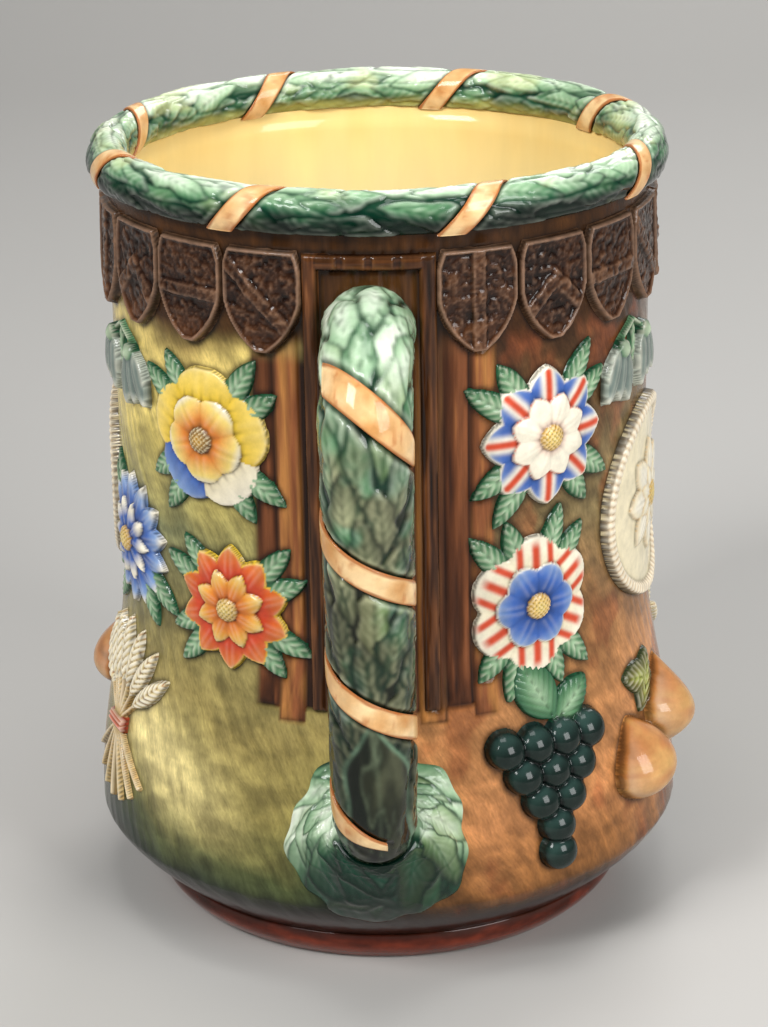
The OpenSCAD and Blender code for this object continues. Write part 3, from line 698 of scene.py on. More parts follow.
def pressed(node, turn, z, reach, draw, material=SPRIG, twin=None, crest=IVORY):
    """A closed piece of relief on the wall, and its twin half a turn away."""
    u, v = np.meshgrid(*(np.arange(-r, r + PATCH_STEP, PATCH_STEP) for r in reach), indexing="ij")
    patch = Relief(u, v)
    draw(patch)
    h = np.maximum(patch.h, SUNK)
    rgb = pool(h, patch.rgb, 5, 0.4, 0.35, crest, inside=h > 0.2)
    top = np.maximum(np.maximum(h[:-1, :-1], h[1:, :-1]), np.maximum(h[1:, 1:], h[:-1, 1:]))
    kept = np.pad(top > SUNK + 0.5, 1)
    nu, nv = u.shape
    front, back = (place(turn, z, u, v, level).reshape(-1, 3) for level in (h, SUNK - PATCH_BACK))
    i, j = np.nonzero(kept[1:-1, 1:-1])
    ring = [(i, j), (i + 1, j), (i + 1, j + 1), (i, j + 1)]
    quad = np.stack([a * nv + b for a, b in ring], -1)
    faces = [quad, quad[:, ::-1] + nu * nv]
    spread = np.stack([np.stack([a / nu, 0.05 + 0.95 * b / nv], -1) for a, b in ring], 1)
    maps = [spread, (spread * [1, 0.04])[:, ::-1]]
    for (di, dj), (p, q) in (((0, -1), (0, 1)), ((1, 0), (1, 2)), ((0, 1), (2, 3)), ((-1, 0), (3, 0))):
        open_side = ~kept[1 + i + di, 1 + j + dj]
        a, b = quad[open_side, p], quad[open_side, q]
        faces.append(np.stack([b, a, a + nu * nv, b + nu * nv], -1))
        maps.append(np.zeros((open_side.sum(), 4, 2)))
    used, faces = np.unique(np.concatenate(faces), return_inverse=True)
    points = np.concatenate([front, back])[used]
    inks = np.concatenate([rgb.reshape(-1, 3)] * 2)[used]
    faces = faces.reshape(-1, 4).tolist()
    uv = np.concatenate(maps).reshape(-1, 2)
    stamps.append((turn, z, reach, draw))
    add_piece(node, points, faces, inks, material, uv)
    if twin:
        stamps.append((turn + 180, z, reach, draw))
        add_piece(twin, half_turn(points), faces, inks, material, uv)


def pair(name, turn, z, reach, draw, crest=IVORY):
    pressed(name + "_a", turn, z, reach, draw, twin=name + "_b", crest=crest)


rosette = flower(8, 8, 0.72, paint_rosette, paint_rosette_eye, gold_eye)
striped = flower(6, 6, 0.95, paint_striped, paint_striped_eye, gold_eye, twigs=SIX_GAPS)
pansy = flower(5, 5, 1.1, paint_pansy, paint_pansy_eye, dark_eye)
aster = flower(14, 10, 0.4, paint_aster, paint_aster_eye, gold_eye, twigs=CORNERS[:3])
dahlia = flower(10, 8, 0.6, paint_dahlia, paint_dahlia_eye, gold_eye, BLOOM_R * 0.92, TEN_GAPS)
bloom_reach = (BLOOM_R * 1.25 + 2, BLOOM_R * 1.25 + 2)
pair("rosette", 37, ROW_A, bloom_reach, rosette)
pair("striped_flower", 34, ROW_B, bloom_reach, striped)
pair("pansy", -36, ROW_A, bloom_reach, pansy)
pair("aster", -65, ROW_B + BLOOM_R * 0.41, bloom_reach, aster)
pair("dahlia", -31, ROW_B, bloom_reach, dahlia)
pair("medallion", 77, MEDAL_Z, (MEDAL_R + 1, MEDAL_R + 1), draw_medallion)
pair("grapes", 35, ROW_C, (26, 42), draw_grapes, crest="3c544c")
pair("pears", 68, ROW_C - 2, (34, 34), draw_pears)
pair("wheat", -67, ROW_C + 4, (33, 40), draw_wheat)
pair("east_bells", 66, BELL_Z, (18, 18), draw_bells(1))
pair("west_bells", -66, BELL_Z, (18, 18), draw_bells(-1))

shield_reach = (SHIELD_W / 2 + 1, SHIELD_H / 2 + 1)
for k in range(2 * SIDE_SHIELDS):
    turn = SHIELD_TURN + SHIELD_STEP * (k % SIDE_SHIELDS) + 180 * (k // SIDE_SHIELDS)
    pressed(f"shield_{k + 1}", turn, SHIELD_MID, shield_reach, draw_shield(k), SHIELD,
            crest="9c7c66")

pressed("front_trellis", 0, STAVE_MID, (22, STAVE_REACH + 1), draw_trellis, TIMBER,
        twin="rear_trellis", crest="7c5230")


# Body
def ground_paint(angle, z, p):
    """The brushed ground, the same after half a turn. side runs from the right of a handle to its left."""
    warp = ripple(p, 26.0, 11)
    side = np.mod(angle + 14 * warp, 180)
    level = z + 34 * ripple(p, 28.0, 12)
    rgb = mix(blend(level, *GROUND_RIGHT), blend(level, *GROUND_LEFT), smooth(84, 104, side))
    # Painted light: a pale patch low on each left-hand field stands for light falling there
    glow = np.exp(-((side - 130) / 15) ** 2 - ((z - 66 + 0.5 * (side - 130)) / 15) ** 2)
    rgb = mix(rgb, "efdc98", 0.85 * glow)
    rust = smooth(0.5, 0.68, layered(p, (9.0, 9.0, 14.0), 15)) * smooth(100, 84, side)
    rgb = mix(rgb, "8c4a2a", 0.5 * rust)
    dabs = smooth(0.25, 0.75, layered(p, (8.0, 8.0, 4.5), 14))
    rgb = shade(rgb, 0.74 + 0.52 * dabs)
    carved = shade("40260f", 0.35 + 1.3 * layered(p, (4.0, 4.0, 9.0), 16))
    rgb = mix(rgb, carved, 0.94 * smooth(SHIELD_FOOT - 2, SHIELD_FOOT + 6, z))
    return mix(rgb, "1c0e08", smooth(36, 20, z + 5 * warp))


def planks(angle, z):
    """Timber boards behind a handle: how much they cover, their joints and their tone. The tone holds
    painted light: boards on the side of greater angle, right of the front handle, are lighter.
    """
    near = np.mod(angle + 90, 180) - 90
    run = np.radians(near) * WAIST_R / PLANK_W + 0.5
    board = np.floor(run)
    joint = np.exp(-((run - np.round(run)) * PLANK_W / 0.8) ** 2)
    pick = lattice(np.stack([board, board * 7 + 3, board * 0 + 5], -1).astype(np.int64))
    end = STAVE_FOOT_Z - 5 * pick
    cover = smooth(PLANK_TURN + 1, PLANK_TURN - 1, np.abs(near)) * smooth(end - 0.6, end + 0.8, z)
    joint = np.maximum(joint, np.exp(-((z - end) / 1.2) ** 2))
    # Painted light: tone is raised on the side of greater angle from each handle
    return cover, joint * cover, pick + 0.25 * smooth(0, 6, near)


def sprig_mask(angle, z):
    """1 where a pressed piece covers the wall and 0 elsewhere."""
    mask = np.zeros((angle.size, z.size))
    for turn, mid, reach, draw in stamps:
        off = np.mod(angle - turn + 180, 360) - 180
        rows = np.nonzero(np.abs(off[:, 0]) < 45)[0]
        cols = np.nonzero(np.abs(z[0] - mid) < reach[1] + 1)[0]
        u = body_r(z[:, cols]) * np.sin(np.radians(off[rows]))
        patch = Relief(u, z[:, cols] - mid + 0 * u)
        draw(patch)
        mask[np.ix_(rows, cols)] = np.maximum(mask[np.ix_(rows, cols)], patch.h > 0)
    return mask


def inner_wall(angle):
    """Points and colours of the inside, down the wall and a rounded corner to the middle of the floor."""
    corner_z = FLOOR_Z + FLOOR_ROUND
    corner_r = float(body_r(corner_z)) - WALL - FLOOR_ROUND
    n_down, n_bend, n_floor = 28, 8, 8
    down = np.linspace(BODY_TOP, corner_z, n_down)
    bowl = np.linspace(0, math.pi / 2, n_bend)[1:]
    floor_r = np.linspace(corner_r, HOLE_R, n_floor)[1:]
    r = np.concatenate([body_r(down) - WALL, corner_r + FLOOR_ROUND * np.cos(bowl), floor_r])
    z = np.concatenate([down, corner_z - FLOOR_ROUND * np.sin(bowl), np.full(len(floor_r), FLOOR_Z)])
    points = polar(r[None, :], angle, z[None, :])
    streaks = layered(points, (9.0, 9.0, 90.0), 31)
    # Painted shade: the inside turns a deeper ochre towards the top, under the rim, with streaks over it
    rim_shade_and_streaks = smooth(205, BODY_TOP, z[None, :]) + 0.3 * (streaks - 0.5)
    rgb = blend(rim_shade_and_streaks, (0, "f2dfa6"), (0.4, "f1da9a"), (0.8, "f2d892"), (1.05, "ecca80"))
    return points, shade(rgb, 0.94 + 0.12 * streaks)


def body():
    nu, n_out, n_under = 640, 248, 6
    angle = np.linspace(0, 360, nu, endpoint=False)[:, None]
    z = np.linspace(FOOT_H, BODY_TOP, n_out)[None, :]
    turns, heights = np.broadcast_arrays(angle, z)
    p = polar(body_r(z), angle, z)
    around = np.radians(np.mod(angle, 180) - 90) * BELLY_R
    across = around * math.cos(COMB) + z * math.sin(COMB) + 10 * ripple(p, 30.0, 22)
    along = z * math.cos(COMB) - around * math.sin(COMB)
    strokes = layered(flat(across, along), (2.4, 14.0, 9.0), 21)
    rgb = shade(ground_paint(turns, heights, p), 0.8 + 0.4 * smooth(0.25, 0.75, strokes))
    cover, joint, tone = planks(turns, heights)
    grain = ripple(p, (2.2, 2.2, 36.0), 23)
    age = 0.7 * tone + 0.15 + 1.3 * grain
    wood = blend(age, (0.0, "2e170c"), (0.35, "5e341c"), (0.7, "8a5230"), (1.0, "b27840"))
    rgb = mix(rgb, shade(wood, 1 - 0.8 * joint), cover * smooth(SHIELD_FOOT + 8, SHIELD_FOOT - 4, z))
    mask = sprig_mask(angle, z)
    rgb = mix(rgb, rgb * 0.2, 0.92 * smooth(0.03, 0.5, soften(mask, 5, wrap=0)))
    lift = 0.4 * (strokes - 0.5) * (1 - cover) + cover * (0.35 * tone + 0.1 + 0.9 * grain - 0.8 * joint)
    lift = lift * smooth(FOOT_H, FOOT_H + 8, z) * smooth(BODY_TOP, BODY_TOP - 8, z) * (1 - mask)
    outer = polar(body_r(z) + lift, angle, z)
    inner, warm = inner_wall(angle)
    under = polar(np.linspace(HOLE_R, SEAT_R - 1, n_under)[None, :], angle, FOOT_H)
    clay = mix(CREAM, GOLD_TAN, 0.4 * layered(under, 14.0, 33))
    grid = np.concatenate([under, outer, inner], 1)
    wall = slice(n_under, n_under + n_out)
    timber = np.zeros(grid.shape[:2])
    timber[:, wall] = np.maximum(cover, smooth(5, 2.5, np.abs(np.mod(angle + 90, 180) - 90)))
    inks = np.concatenate([np.concatenate([clay, rgb, warm], 1), timber[..., None]], -1)
    mesh = sweep("body", grid, inks, GROUND, wrap_v=False).data
    flow = np.zeros(grid.shape, np.float32)
    flow[:, wall] = flat(across, along / COMB_STRETCH) * MM
    mesh.attributes.new("flow", "FLOAT_VECTOR", "POINT").data.foreach_set("vector", flow.ravel())
    mesh.materials.append(INSIDE)
    index = np.tile(np.arange(grid.shape[1] - 1) >= wall.stop - 1, nu)
    mesh.polygons.foreach_set("material_index", index.astype(np.int32))
    close_middles(mesh, *grid.shape[:2])


def close_middles(mesh, nu, nv):
    """Fills the small round openings left at the middle of the floor and of the underside."""
    bm = bmesh.new()
    bm.from_mesh(mesh)
    bm.verts.ensure_lookup_table()
    bm.faces.new([bm.verts[i * nv] for i in range(nu)][::-1]).material_index = 0
    bm.faces.new([bm.verts[i * nv + nv - 1] for i in range(nu)]).material_index = 1
    bm.normal_update()
    bm.to_mesh(mesh)
    bm.free()


def foot():
    angle = np.linspace(0, 360, 360, endpoint=False)[:, None]
    t = np.linspace(0, 1, 18)
    r_out = FOOT_R + (SEAT_R - FOOT_R) * np.sin(t * math.pi / 2) + np.sin(t * math.pi)
    r = np.concatenate([[FOOT_HOLLOW_R, FOOT_HOLLOW_R + 2, FOOT_HOLLOW_R + 3.5, FOOT_R - 1.2], r_out])
    z = np.concatenate([[FOOT_H, 1.2, 0, 0], 0.6 + t * (FOOT_H - 0.6)])
    grid = polar(r[None, :], angle, z[None, :])
    # The foot's clay is mottled, and it darkens towards its top as painted shade under the belly
    mottle_and_shade = 0.12 * z[None, :] + 1.1 * ripple(grid, (9.0, 9.0, 3.0), 51)
    rgb = blend(mottle_and_shade, (0.1, "702c19"), (0.6, TERRACOTTA), (1.1, "461b10"), (1.5, BARK))
    sweep("foot_ring", grid, rgb, TERRA)


body()
foot()


# Laurel
def wavy(x, y, l, w, s0, t0):
    """A leaf's across, bent and crimped along its length."""
    y = y + 0.1 * w * np.sin(x / l * 3.1 + 2 * t0)
    return y * (1 + 0.16 * np.sin(x / l * 15 + s0))


def lay_leaves(s, t, leaves, around=None):
    """Overlapping leaves on an unrolled surface, each over those before it in the list.
    A leaf is (s, t, angle, length, width, high, tone). Returns the height, the tone,
    how far inside its leaf each point is, and its midrib."""
    s, t = np.broadcast_arrays(s, t)
    high, tone = np.full(s.shape, 0.2), np.full(s.shape, 0.35)
    inside, rib = np.zeros(s.shape), np.zeros(s.shape)
    for s0, t0, angle, l, w, top, light in leaves:
        near = np.nonzero(np.abs(s - s0).min(1) < l * 1.05)[0]
        if not len(near):
            continue
        ds, dt = s[near] - s0, t[near] - t0
        if around:
            dt = np.mod(dt + around / 2, around) - around / 2
        c, n = math.cos(angle), math.sin(angle)
        x, y = c * ds + n * dt, c * dt - n * ds
        y = wavy(x, y, l, w, s0, t0)
        d = vesica(x, y, l, w)
        depth = np.clip(d / (w / 2), 0, 1)
        veins = 0.1 * np.cos((x - 1.4 * np.abs(y)) * 1.9) * depth
        groove = 0.3 * np.exp(-(y / 0.45) ** 2) * smooth(0.1, 0.5, depth) * smooth(1.0, 0.8, x / l)
        h = top * (0.2 + 0.4 * np.clip(x / l, 0, 1) + 0.4 * depth ** 0.6) + veins - groove
        over = d > 0
        high[near] = np.where(over, h, high[near])
        tone[near] = np.where(over, light, tone[near])
        inside[near] = np.where(over, depth * (1 + 1.6 * veins), inside[near])
        rib[near] = np.where(over, np.exp(-(y / 0.5) ** 2), rib[near])
    return high, tone, inside, rib


def furrows(run, across, around, size, seed):
    """Thin wavy cuts over a surface that closes after a length around in the direction of run."""
    run = np.mod(run, around)
    near, far = (layered(flat(x, across), (*size, 9.0), seed) for x in (run, run - around))
    n = near + (far - near) * smooth(around - 12, around, run)
    return np.exp(-((n - 0.5) / 0.026) ** 2)


def laurel_paint(tone, inside, rib, up):
    """Dark furrows, green leaves and pale crests; up runs from 0 in shade to 1 on the lit side."""
    level = 0.36 * inside + 0.36 * (tone - 0.5) + 0.95 * (up - 0.5) + 0.1
    darks = (-0.4, "04160e"), (-0.16, VIRIDIAN), (0.08, FOREST)
    rgb = blend(level, *darks, (0.36, LEAF), (0.66, MINT), (0.98, ICE))
    rgb = mix(rgb, "87934f", 0.45 * smooth(0.66, 0.9, tone) * smooth(1.1, 0.7, up))
    grey = smooth(0.34, 0.14, tone) * smooth(0.1, 0.4, up) * smooth(0.9, 0.6, up)
    rgb = mix(rgb, "8d9a84", 0.4 * grey)
    rgb = mix(rgb, "0a3022", 0.9 * smooth(0.24, 0.03, inside) * smooth(1.3, 0.8, up))
    return mix(rgb, FOREST, 0.4 * rib * smooth(0.2, 0.6, inside) * smooth(1.0, 0.6, up))


def beside_ribbon(rgb, gap, width):
    """Glaze pools dark along both edges of a ribbon, whose middle is a distance gap away."""
    return mix(rgb, rgb * 0.4, smooth(2.6, 0.8, np.abs(gap - width / 2) + 0.6))


def jiggle(seed):
    """Six repeatable random numbers from -1 to 1."""
    return np.random.default_rng(seed).uniform(-1, 1, 6)


def leaf_tone(jig):
    """How light a jiggled leaf is, from 0 to 1."""
    return (jig[5] + jig[1] + 2) / 4


def rim_frame(angle, tau, h):
    """A point around the rim, tau degrees up its section from the outside and h off its core."""
    a = np.radians(tau)
    return polar(RIM_R + (RIM_A + h) * np.cos(a), angle, RIM_Z + (RIM_B + h) * np.sin(a))


def rim_leaves(length):
    """Leaves in rows around the rim, with some past both ends of its length so that it closes."""
    leaves = []
    for i in range(RIM_ROWS + 2, -4, -1):
        for j in range(RIM_COLS):
            jig = jiggle(900 + (i % RIM_ROWS) * RIM_COLS + j)
            s0 = (i + 0.5 * (j % 2) + 0.3 * jig[0]) * length / RIM_ROWS - 8
            t0 = (j - (RIM_COLS - 1) / 2) * 5.8 + 1.5 * jig[1]
            long, wide, high = RIM_LEAF_L + 5 * jig[3], RIM_LEAF_W + 1.6 * jig[4], 1.6 + 0.2 * jig[5]
            leaves.append((s0, t0, 0.2 * jig[2] + 0.02 * t0, long, wide, high, leaf_tone(jig)))
    return leaves


def rim_garland():
    nu, nv = 1080, 92
    length = 2 * math.pi * RIM_R
    s = np.linspace(0, length, nu, endpoint=False)[:, None]
    tau = np.linspace(RIM_START, 180 - RIM_START, nv)[None, :]
    t = np.radians(tau - 90) * ((RIM_A + RIM_B) / 2 + 0.8)
    high, tone, inside, rib = lay_leaves(s, t, rim_leaves(length))
    cuts = furrows(s + 0 * t, t + 0 * s, length, (28.0, 5.0), 75)
    angle = np.degrees(s / RIM_R)
    slot = length / RIBBONS
    run = (s - math.radians(RIBBON_TURN) * RIM_R - RIM_LEAD * (tau - 90)) / slot
    gap = np.abs(run - np.round(run)) * slot
    bound = smooth(RIM_RIBBON_W / 2 - 0.4, RIM_RIBBON_W / 2 + 2.0, gap)
    seat = smooth(0, 8, np.minimum(tau - RIM_START, 180 - RIM_START - tau))
    p = rim_frame(angle, tau, 0)
    h = np.clip((high + 0.35 * ripple(p, 9.0, 71) - 0.5 * cuts) * bound * seat, 0, RIM_LEAF)
    h = soften(h, 1, wrap=0)
    up = 0.28 + 0.86 * np.sin(np.radians(tau - 10)) + 0.5 * ripple(p, 20.0, 72)
    rgb = laurel_paint(tone + 0.5 * ripple(p, 15.0, 73), inside, rib, up)
    # Painted light: pale yellowish patches only on the lit top of the rim
    straw = smooth(0.52, 0.68, layered(p, 16.0, 76)) * smooth(0.6, 0.9, up)
    rgb = mix(rgb, "d5dc9c", 0.5 * straw)
    rgb = pool(h, rgb, 4, 0.22, 0.3, ICE, wrap=0)
    rgb = mix(rgb, "0c3a2a", 0.55 * cuts)
    # Painted shade: the rim's outer underside is made darker
    rgb = shade(rgb, 1 - 0.7 * smooth(34, -16, tau))
    inner_edge = smooth(178, 208, tau + 24 * ripple(p, 9.0, 74))
    rgb = mix(rgb, "b3b060", 0.7 * inner_edge)
    rgb = soften(beside_ribbon(rgb, gap, RIM_RIBBON_W), 1, wrap=0)
    sweep("rim_garland", rim_frame(angle, tau, h), rgb, LAUREL)


def strip(node, at, along, width, thick, lump, seed):
    """A ribbon with rounded edges. at(i, across, height) gives a point along it."""
    beta = np.linspace(0, 2 * math.pi, 28, endpoint=False)
    across = np.sign(np.cos(beta)) * np.abs(np.cos(beta)) ** 0.5 * width / 2
    height = thick * (0.5 + 0.5 * np.sign(np.sin(beta)) * np.abs(np.sin(beta)) ** 0.5) - 0.05
    grid = np.stack([at(i, across, height) for i in along])
    tone = layered(grid, lump, seed)
    fray = np.abs(across[None, :]) / (width / 2) + 0.4 * (tone - 0.5)
    rgb = blend(tone, (0.25, "c99258"), (0.48, "deb17a"), (0.72, PEACH_LIGHT))
    rgb = mix(rgb, "9c5423", 0.85 * smooth(0.74, 0.95, fray))
    rgb = mix(rgb, "b5632f", 0.5 * smooth(0.6, 0.72, layered(grid, 3.2, seed + 9)))
    sweep(node, grid, rgb, RIBBON, wrap_u=False)


def rim_ribbon(k):
    """The kth ribbon, slanting over the garland from its outer foot to its inner one."""
    start = RIBBON_TURN + 360 * k / RIBBONS

    def at(tau, across, height):
        wave = 0.3 * math.sin(math.radians(3 * tau) + k)
        angle = start + np.degrees((RIM_LEAD * (tau - 90) + across + wave) / RIM_R)
        return rim_frame(angle, tau, height + RIM_RIBBON_LIFT)

    along = np.linspace(RIM_START + 1, 179 - RIM_START, 60)
    strip(f"rim_ribbon_{k + 1}", at, along, RIM_RIBBON_W, RIBBON_T - RIM_RIBBON_LIFT, 6.0, 100 + k)


rim_garland()
for k in range(RIBBONS):
    rim_ribbon(k)


# Handle middle line, as in the CAD
def heading(a):
    return np.array([math.cos(a), math.sin(a)])


top_start = np.array([float(body_r(HANDLE_TOP_Z)), HANDLE_TOP_Z])
top_mid = np.array([HANDLE_REACH - TOP_BEND, HANDLE_TOP_Z - TOP_BEND])
foot_end = np.array([float(body_r(HANDLE_FOOT_Z)), HANDLE_FOOT_Z])
slope = np.array([math.sin(FOOT_SLOPE), math.cos(FOOT_SLOPE)])
foot_mid = foot_end + FOOT_STUB * slope - FOOT_BEND * heading(-FOOT_SLOPE)
reach = top_mid - foot_mid
lean = math.acos((FOOT_BEND - TOP_BEND) / np.hypot(*reach)) - math.atan2(reach[1], reach[0])
bar_from = top_mid + TOP_BEND * heading(-lean)
bar_to = foot_mid + FOOT_BEND * heading(-lean)
run_1 = top_mid[0] - top_start[0]
run_2 = run_1 + TOP_BEND * (math.pi / 2 + lean)
run_3 = run_2 + np.hypot(*(bar_to - bar_from))
run_4 = run_3 + FOOT_BEND * (FOOT_SLOPE - lean)
handle_run = run_4 + FOOT_STUB
collar_run = run_4 - COLLAR_SET
leaves_from = handle_run + LEAF_OVERRUN


def mid_line(s):
    """Middle point, as radius and height, and the turn of the outer side at a length along the handle."""
    if s < run_1:
        return top_start + [s, 0], math.pi / 2
    if s < run_2:
        a = math.pi / 2 - (s - run_1) / TOP_BEND
        return top_mid + TOP_BEND * heading(a), a
    if s < run_3:
        return bar_from + (bar_to - bar_from) * (s - run_2) / (run_3 - run_2), -lean
    if s < run_4:
        a = -lean - (s - run_3) / FOOT_BEND
        return foot_mid + FOOT_BEND * heading(a), a
    return foot_end + (handle_run - s) * slope, -FOOT_SLOPE


def tube(s, q, h):
    """A point at length s on the handle, q degrees round from its outer side and h off its core."""
    m, a = mid_line(s)
    r = HANDLE_R_TOP + (HANDLE_R_FOOT - HANDLE_R_TOP) * s / handle_run + h
    out = r * np.cos(np.radians(q))
    return np.stack([r * np.sin(np.radians(q)), -(m[0] + out * math.cos(a)), m[1] + out * math.sin(a)], -1)


def foot_pad(q, h):
    """Where a handle's lower end meets the wall, h off the wall and stretched in height."""
    c = np.radians(q)
    return on_wall(0, HANDLE_R_FOOT * np.sin(c), HANDLE_FOOT_Z - PAD_DROP * np.cos(c), h)


def handle_leaves():
    """Leaves that climb a handle, and over them a dark one at its foot."""
    leaves = []
    for i in range(HANDLE_ROWS, -1, -1):
        for j in range(HANDLE_COLS):
            jig = jiggle(3000 + i * HANDLE_COLS + j)
            s0 = leaves_from - i * HANDLE_LEAF_STEP + 2.0 * jig[0]
            t0 = (j + 0.5 * (i % 2)) * HANDLE_AROUND / HANDLE_COLS + 1.2 * jig[1]
            aim = math.pi - 0.4 * math.sin(t0 / HANDLE_MEAN_R) + 0.16 * jig[2]
            long, wide, high = HANDLE_LEAF_L + 4 * jig[3], HANDLE_LEAF_W + 1.4 * jig[4], 1.7 + 0.2 * jig[5]
            leaves.append((s0, t0, aim, long, wide, high, leaf_tone(jig)))
    leaves.append((leaves_from, 0.0, math.pi, BIG_LEAF_L, BIG_LEAF_W, 1.2, 0.1))
    return leaves


def handle():
    s = np.arange(-2.0, collar_run, 0.5)[:, None]
    q = np.linspace(0, 360, 144, endpoint=False)[None, :]
    t = np.radians(q) * HANDLE_MEAN_R
    high, tone, inside, rib = lay_leaves(s, t, handle_leaves(), HANDLE_AROUND)
    across = HANDLE_AROUND / 2 - np.mod(t + HANDLE_AROUND / 2, HANDLE_AROUND)
    across = wavy(leaves_from - s, across, BIG_LEAF_L, BIG_LEAF_W, leaves_from, 0)
    depth = vesica(leaves_from - s, across, BIG_LEAF_L, BIG_LEAF_W)
    big = smooth(0, 0.8, depth)
    p = np.stack([tube(float(x), q[0], 0 * q[0]) for x in s[:, 0]])
    folds = layered(p, (5.0, 9.0, 22.0), 84)
    crease = np.exp(-((folds - 0.5) / 0.022) ** 2) * big
    cuts = furrows(t + HANDLE_AROUND / 2 + 0 * s, s + 0 * t, HANDLE_AROUND, (4.5, 17.0), 85)
    cuts = cuts * (1 - 0.7 * big)
    run = (s - RIBBON_FIRST) / RIBBON_PITCH - q / 360
    wound = q + 360 * np.round(run)
    wraps = (wound > RIBBON_FROM - 8) & (wound < RIBBON_TO + 8)
    gap = np.where(wraps, np.abs(run - np.round(run)) * RIBBON_PITCH, 99)
    bound = smooth(HANDLE_RIBBON_W / 2 - 0.4, HANDLE_RIBBON_W / 2 + 1.8, gap)
    h = high + 0.5 * ripple(p, 11.0, 81) - 0.35 * cuts + 1.8 * (folds - 0.5) * big - 0.3 * crease
    h = np.clip(h * bound, 0, HANDLE_LEAF) * smooth(-1, 4, s) * smooth(collar_run - 1, collar_run - 6, s)
    h = soften(h, 1, wrap=1)
    lit = np.interp(s, *zip(*HANDLE_LIT))
    outer = 0.5 + 0.5 * np.cos(np.radians(q))
    up = lit + 0.16 * (outer - 0.5) + 0.6 * ripple(p, 20.0, 82)
    rgb = laurel_paint(tone + 0.4 * ripple(p, 12.0, 83), inside, rib, up)
    rgb = pool(h, rgb, 4, 0.22, 0.3, ICE, wrap=1)
    sage = rgb.mean(-1, keepdims=True) * SAGE * 0.7
    rgb = mix(rgb, sage, 0.85 * smooth(40, 56, s) * smooth(0.25, 0.55, layered(p, 9.0, 86)))
    rgb = mix(rgb, FURROW, 0.45 * cuts)
    # Painted shade: the lower part of the handle's outer side is darkened
    lower_shade = smooth(105, 160, s) * smooth(0.2, 0.8, outer)
    rgb = mix(rgb, shade("14251c", 0.35 + 0.9 * inside), 0.75 * lower_shade)
    folded = blend(folds, (0.25, "040a07"), (0.45, "10170f"), (0.6, "26291c"), (0.75, "4a4d39"))
    # Painted highlight: thin pale lines along the dark leaf's folds, and a paler midrib
    folded = mix(folded, "6d7a60", 0.45 * crease + 0.3 * rib)
    rgb = mix(rgb, folded, 0.94 * big)
    broken = 0.35 + 0.65 * smooth(0.35, 0.65, layered(p, 7.0, 87))
    rgb = mix(rgb, "86a98a", 0.75 * broken * np.exp(-((depth - 0.2) / 0.45) ** 2))
    rgb = beside_ribbon(soften(rgb, 1, wrap=1), gap, HANDLE_RIBBON_W)
    grid = np.stack([tube(float(x), q[0], h[i]) for i, x in enumerate(s[:, 0])])
    pad = foot_pad(q[0], -HANDLE_SINK)
    tail = [grid[-1] * (1 - k) + pad * k for k in np.linspace(0.1, 1, 10)]
    grid = np.concatenate([grid, tail])
    rgb = np.concatenate([rgb, np.repeat(rgb[-1:], len(tail), 0)])
    both_ends("handle", grid, rgb, False)


def front_strip(wound, across, height):
    """A point of the front handle's ribbon, wound degrees around the handle. It tapers at its lower end."""
    s = RIBBON_FIRST + RIBBON_PITCH * wound / 360
    taper = 0.7 * smooth(RIBBON_TO - 90, RIBBON_TO, wound)
    drawn = across - taper * (across + HANDLE_RIBBON_W / 2)
    height = height + HANDLE_RIBBON_LIFT
    return np.stack([tube(s + float(d), wound, float(e)) for d, e in zip(drawn, height)])


def rear_strip(wound, across, height):
    return half_turn(front_strip(wound, across, height))


handle()
ribbon_along = np.arange(RIBBON_FROM, RIBBON_TO, 3.0)
strip("front_handle_ribbon", front_strip, ribbon_along, HANDLE_RIBBON_W, RIBBON_T, 7.0, 130)
strip("rear_handle_ribbon", rear_strip, ribbon_along, HANDLE_RIBBON_W, RIBBON_T, 7.0, 131)


# Leaf collars
def collar_sheet(t, q, out, off=0.7):
    """The mound around a handle foot, from the handle at t = 0, off its core, to the wall at t = 1."""
    c = np.radians(q)
    swell = 0.88 * (tube(collar_run, q, off) - foot_pad(q, 0))
    d = HANDLE_R_FOOT + (out - HANDLE_R_FOOT) * t
    z = HANDLE_FOOT_Z - (PAD_DROP * (1 - t) + d * t) * np.cos(c)
    return on_wall(0, d * np.sin(c), z, (COLLAR_T - COLLAR_SINK) * t) + swell * (1 - t ** 2.2)[..., None]


def collar_leaves(mean):
    """Leaves that sweep down both sides of a handle foot, and some that curl out on its right.
    A leaf starts at a distance from the middle, and at an arc of that mean radius from the lowest point."""
    rng = np.random.default_rng(12)
    leaves = []
    for low, count, long, width in ((18, 7, 33, 9.5), (13.5, 7, 31, 8.5), (9.5, 6, 27, 7.5)):
        for k in range(count - 1, -1, -1):
            for side in (-1, 1):
                jig = rng.uniform(-1, 1, 5)
                arc = mean * math.pi + side * (k * 9.0 - 6 + 2 * jig[0])
                aim = side * (math.radians(64) + 0.12 * jig[1])
                tone = (jig[1] + jig[3] + 2) / 4
                leaves.append((low + jig[2], arc, aim, long + 3 * jig[3], width + jig[4], 2.1, tone))
    for turn, aim, long, width in ((62, -0.75, 24, 12), (88, -0.5, 23, 13), (112, -0.35, 20, 12)):
        leaves.append((9.5, mean * math.radians(turn), aim, long, width, 2.6, 0.85))
    return leaves


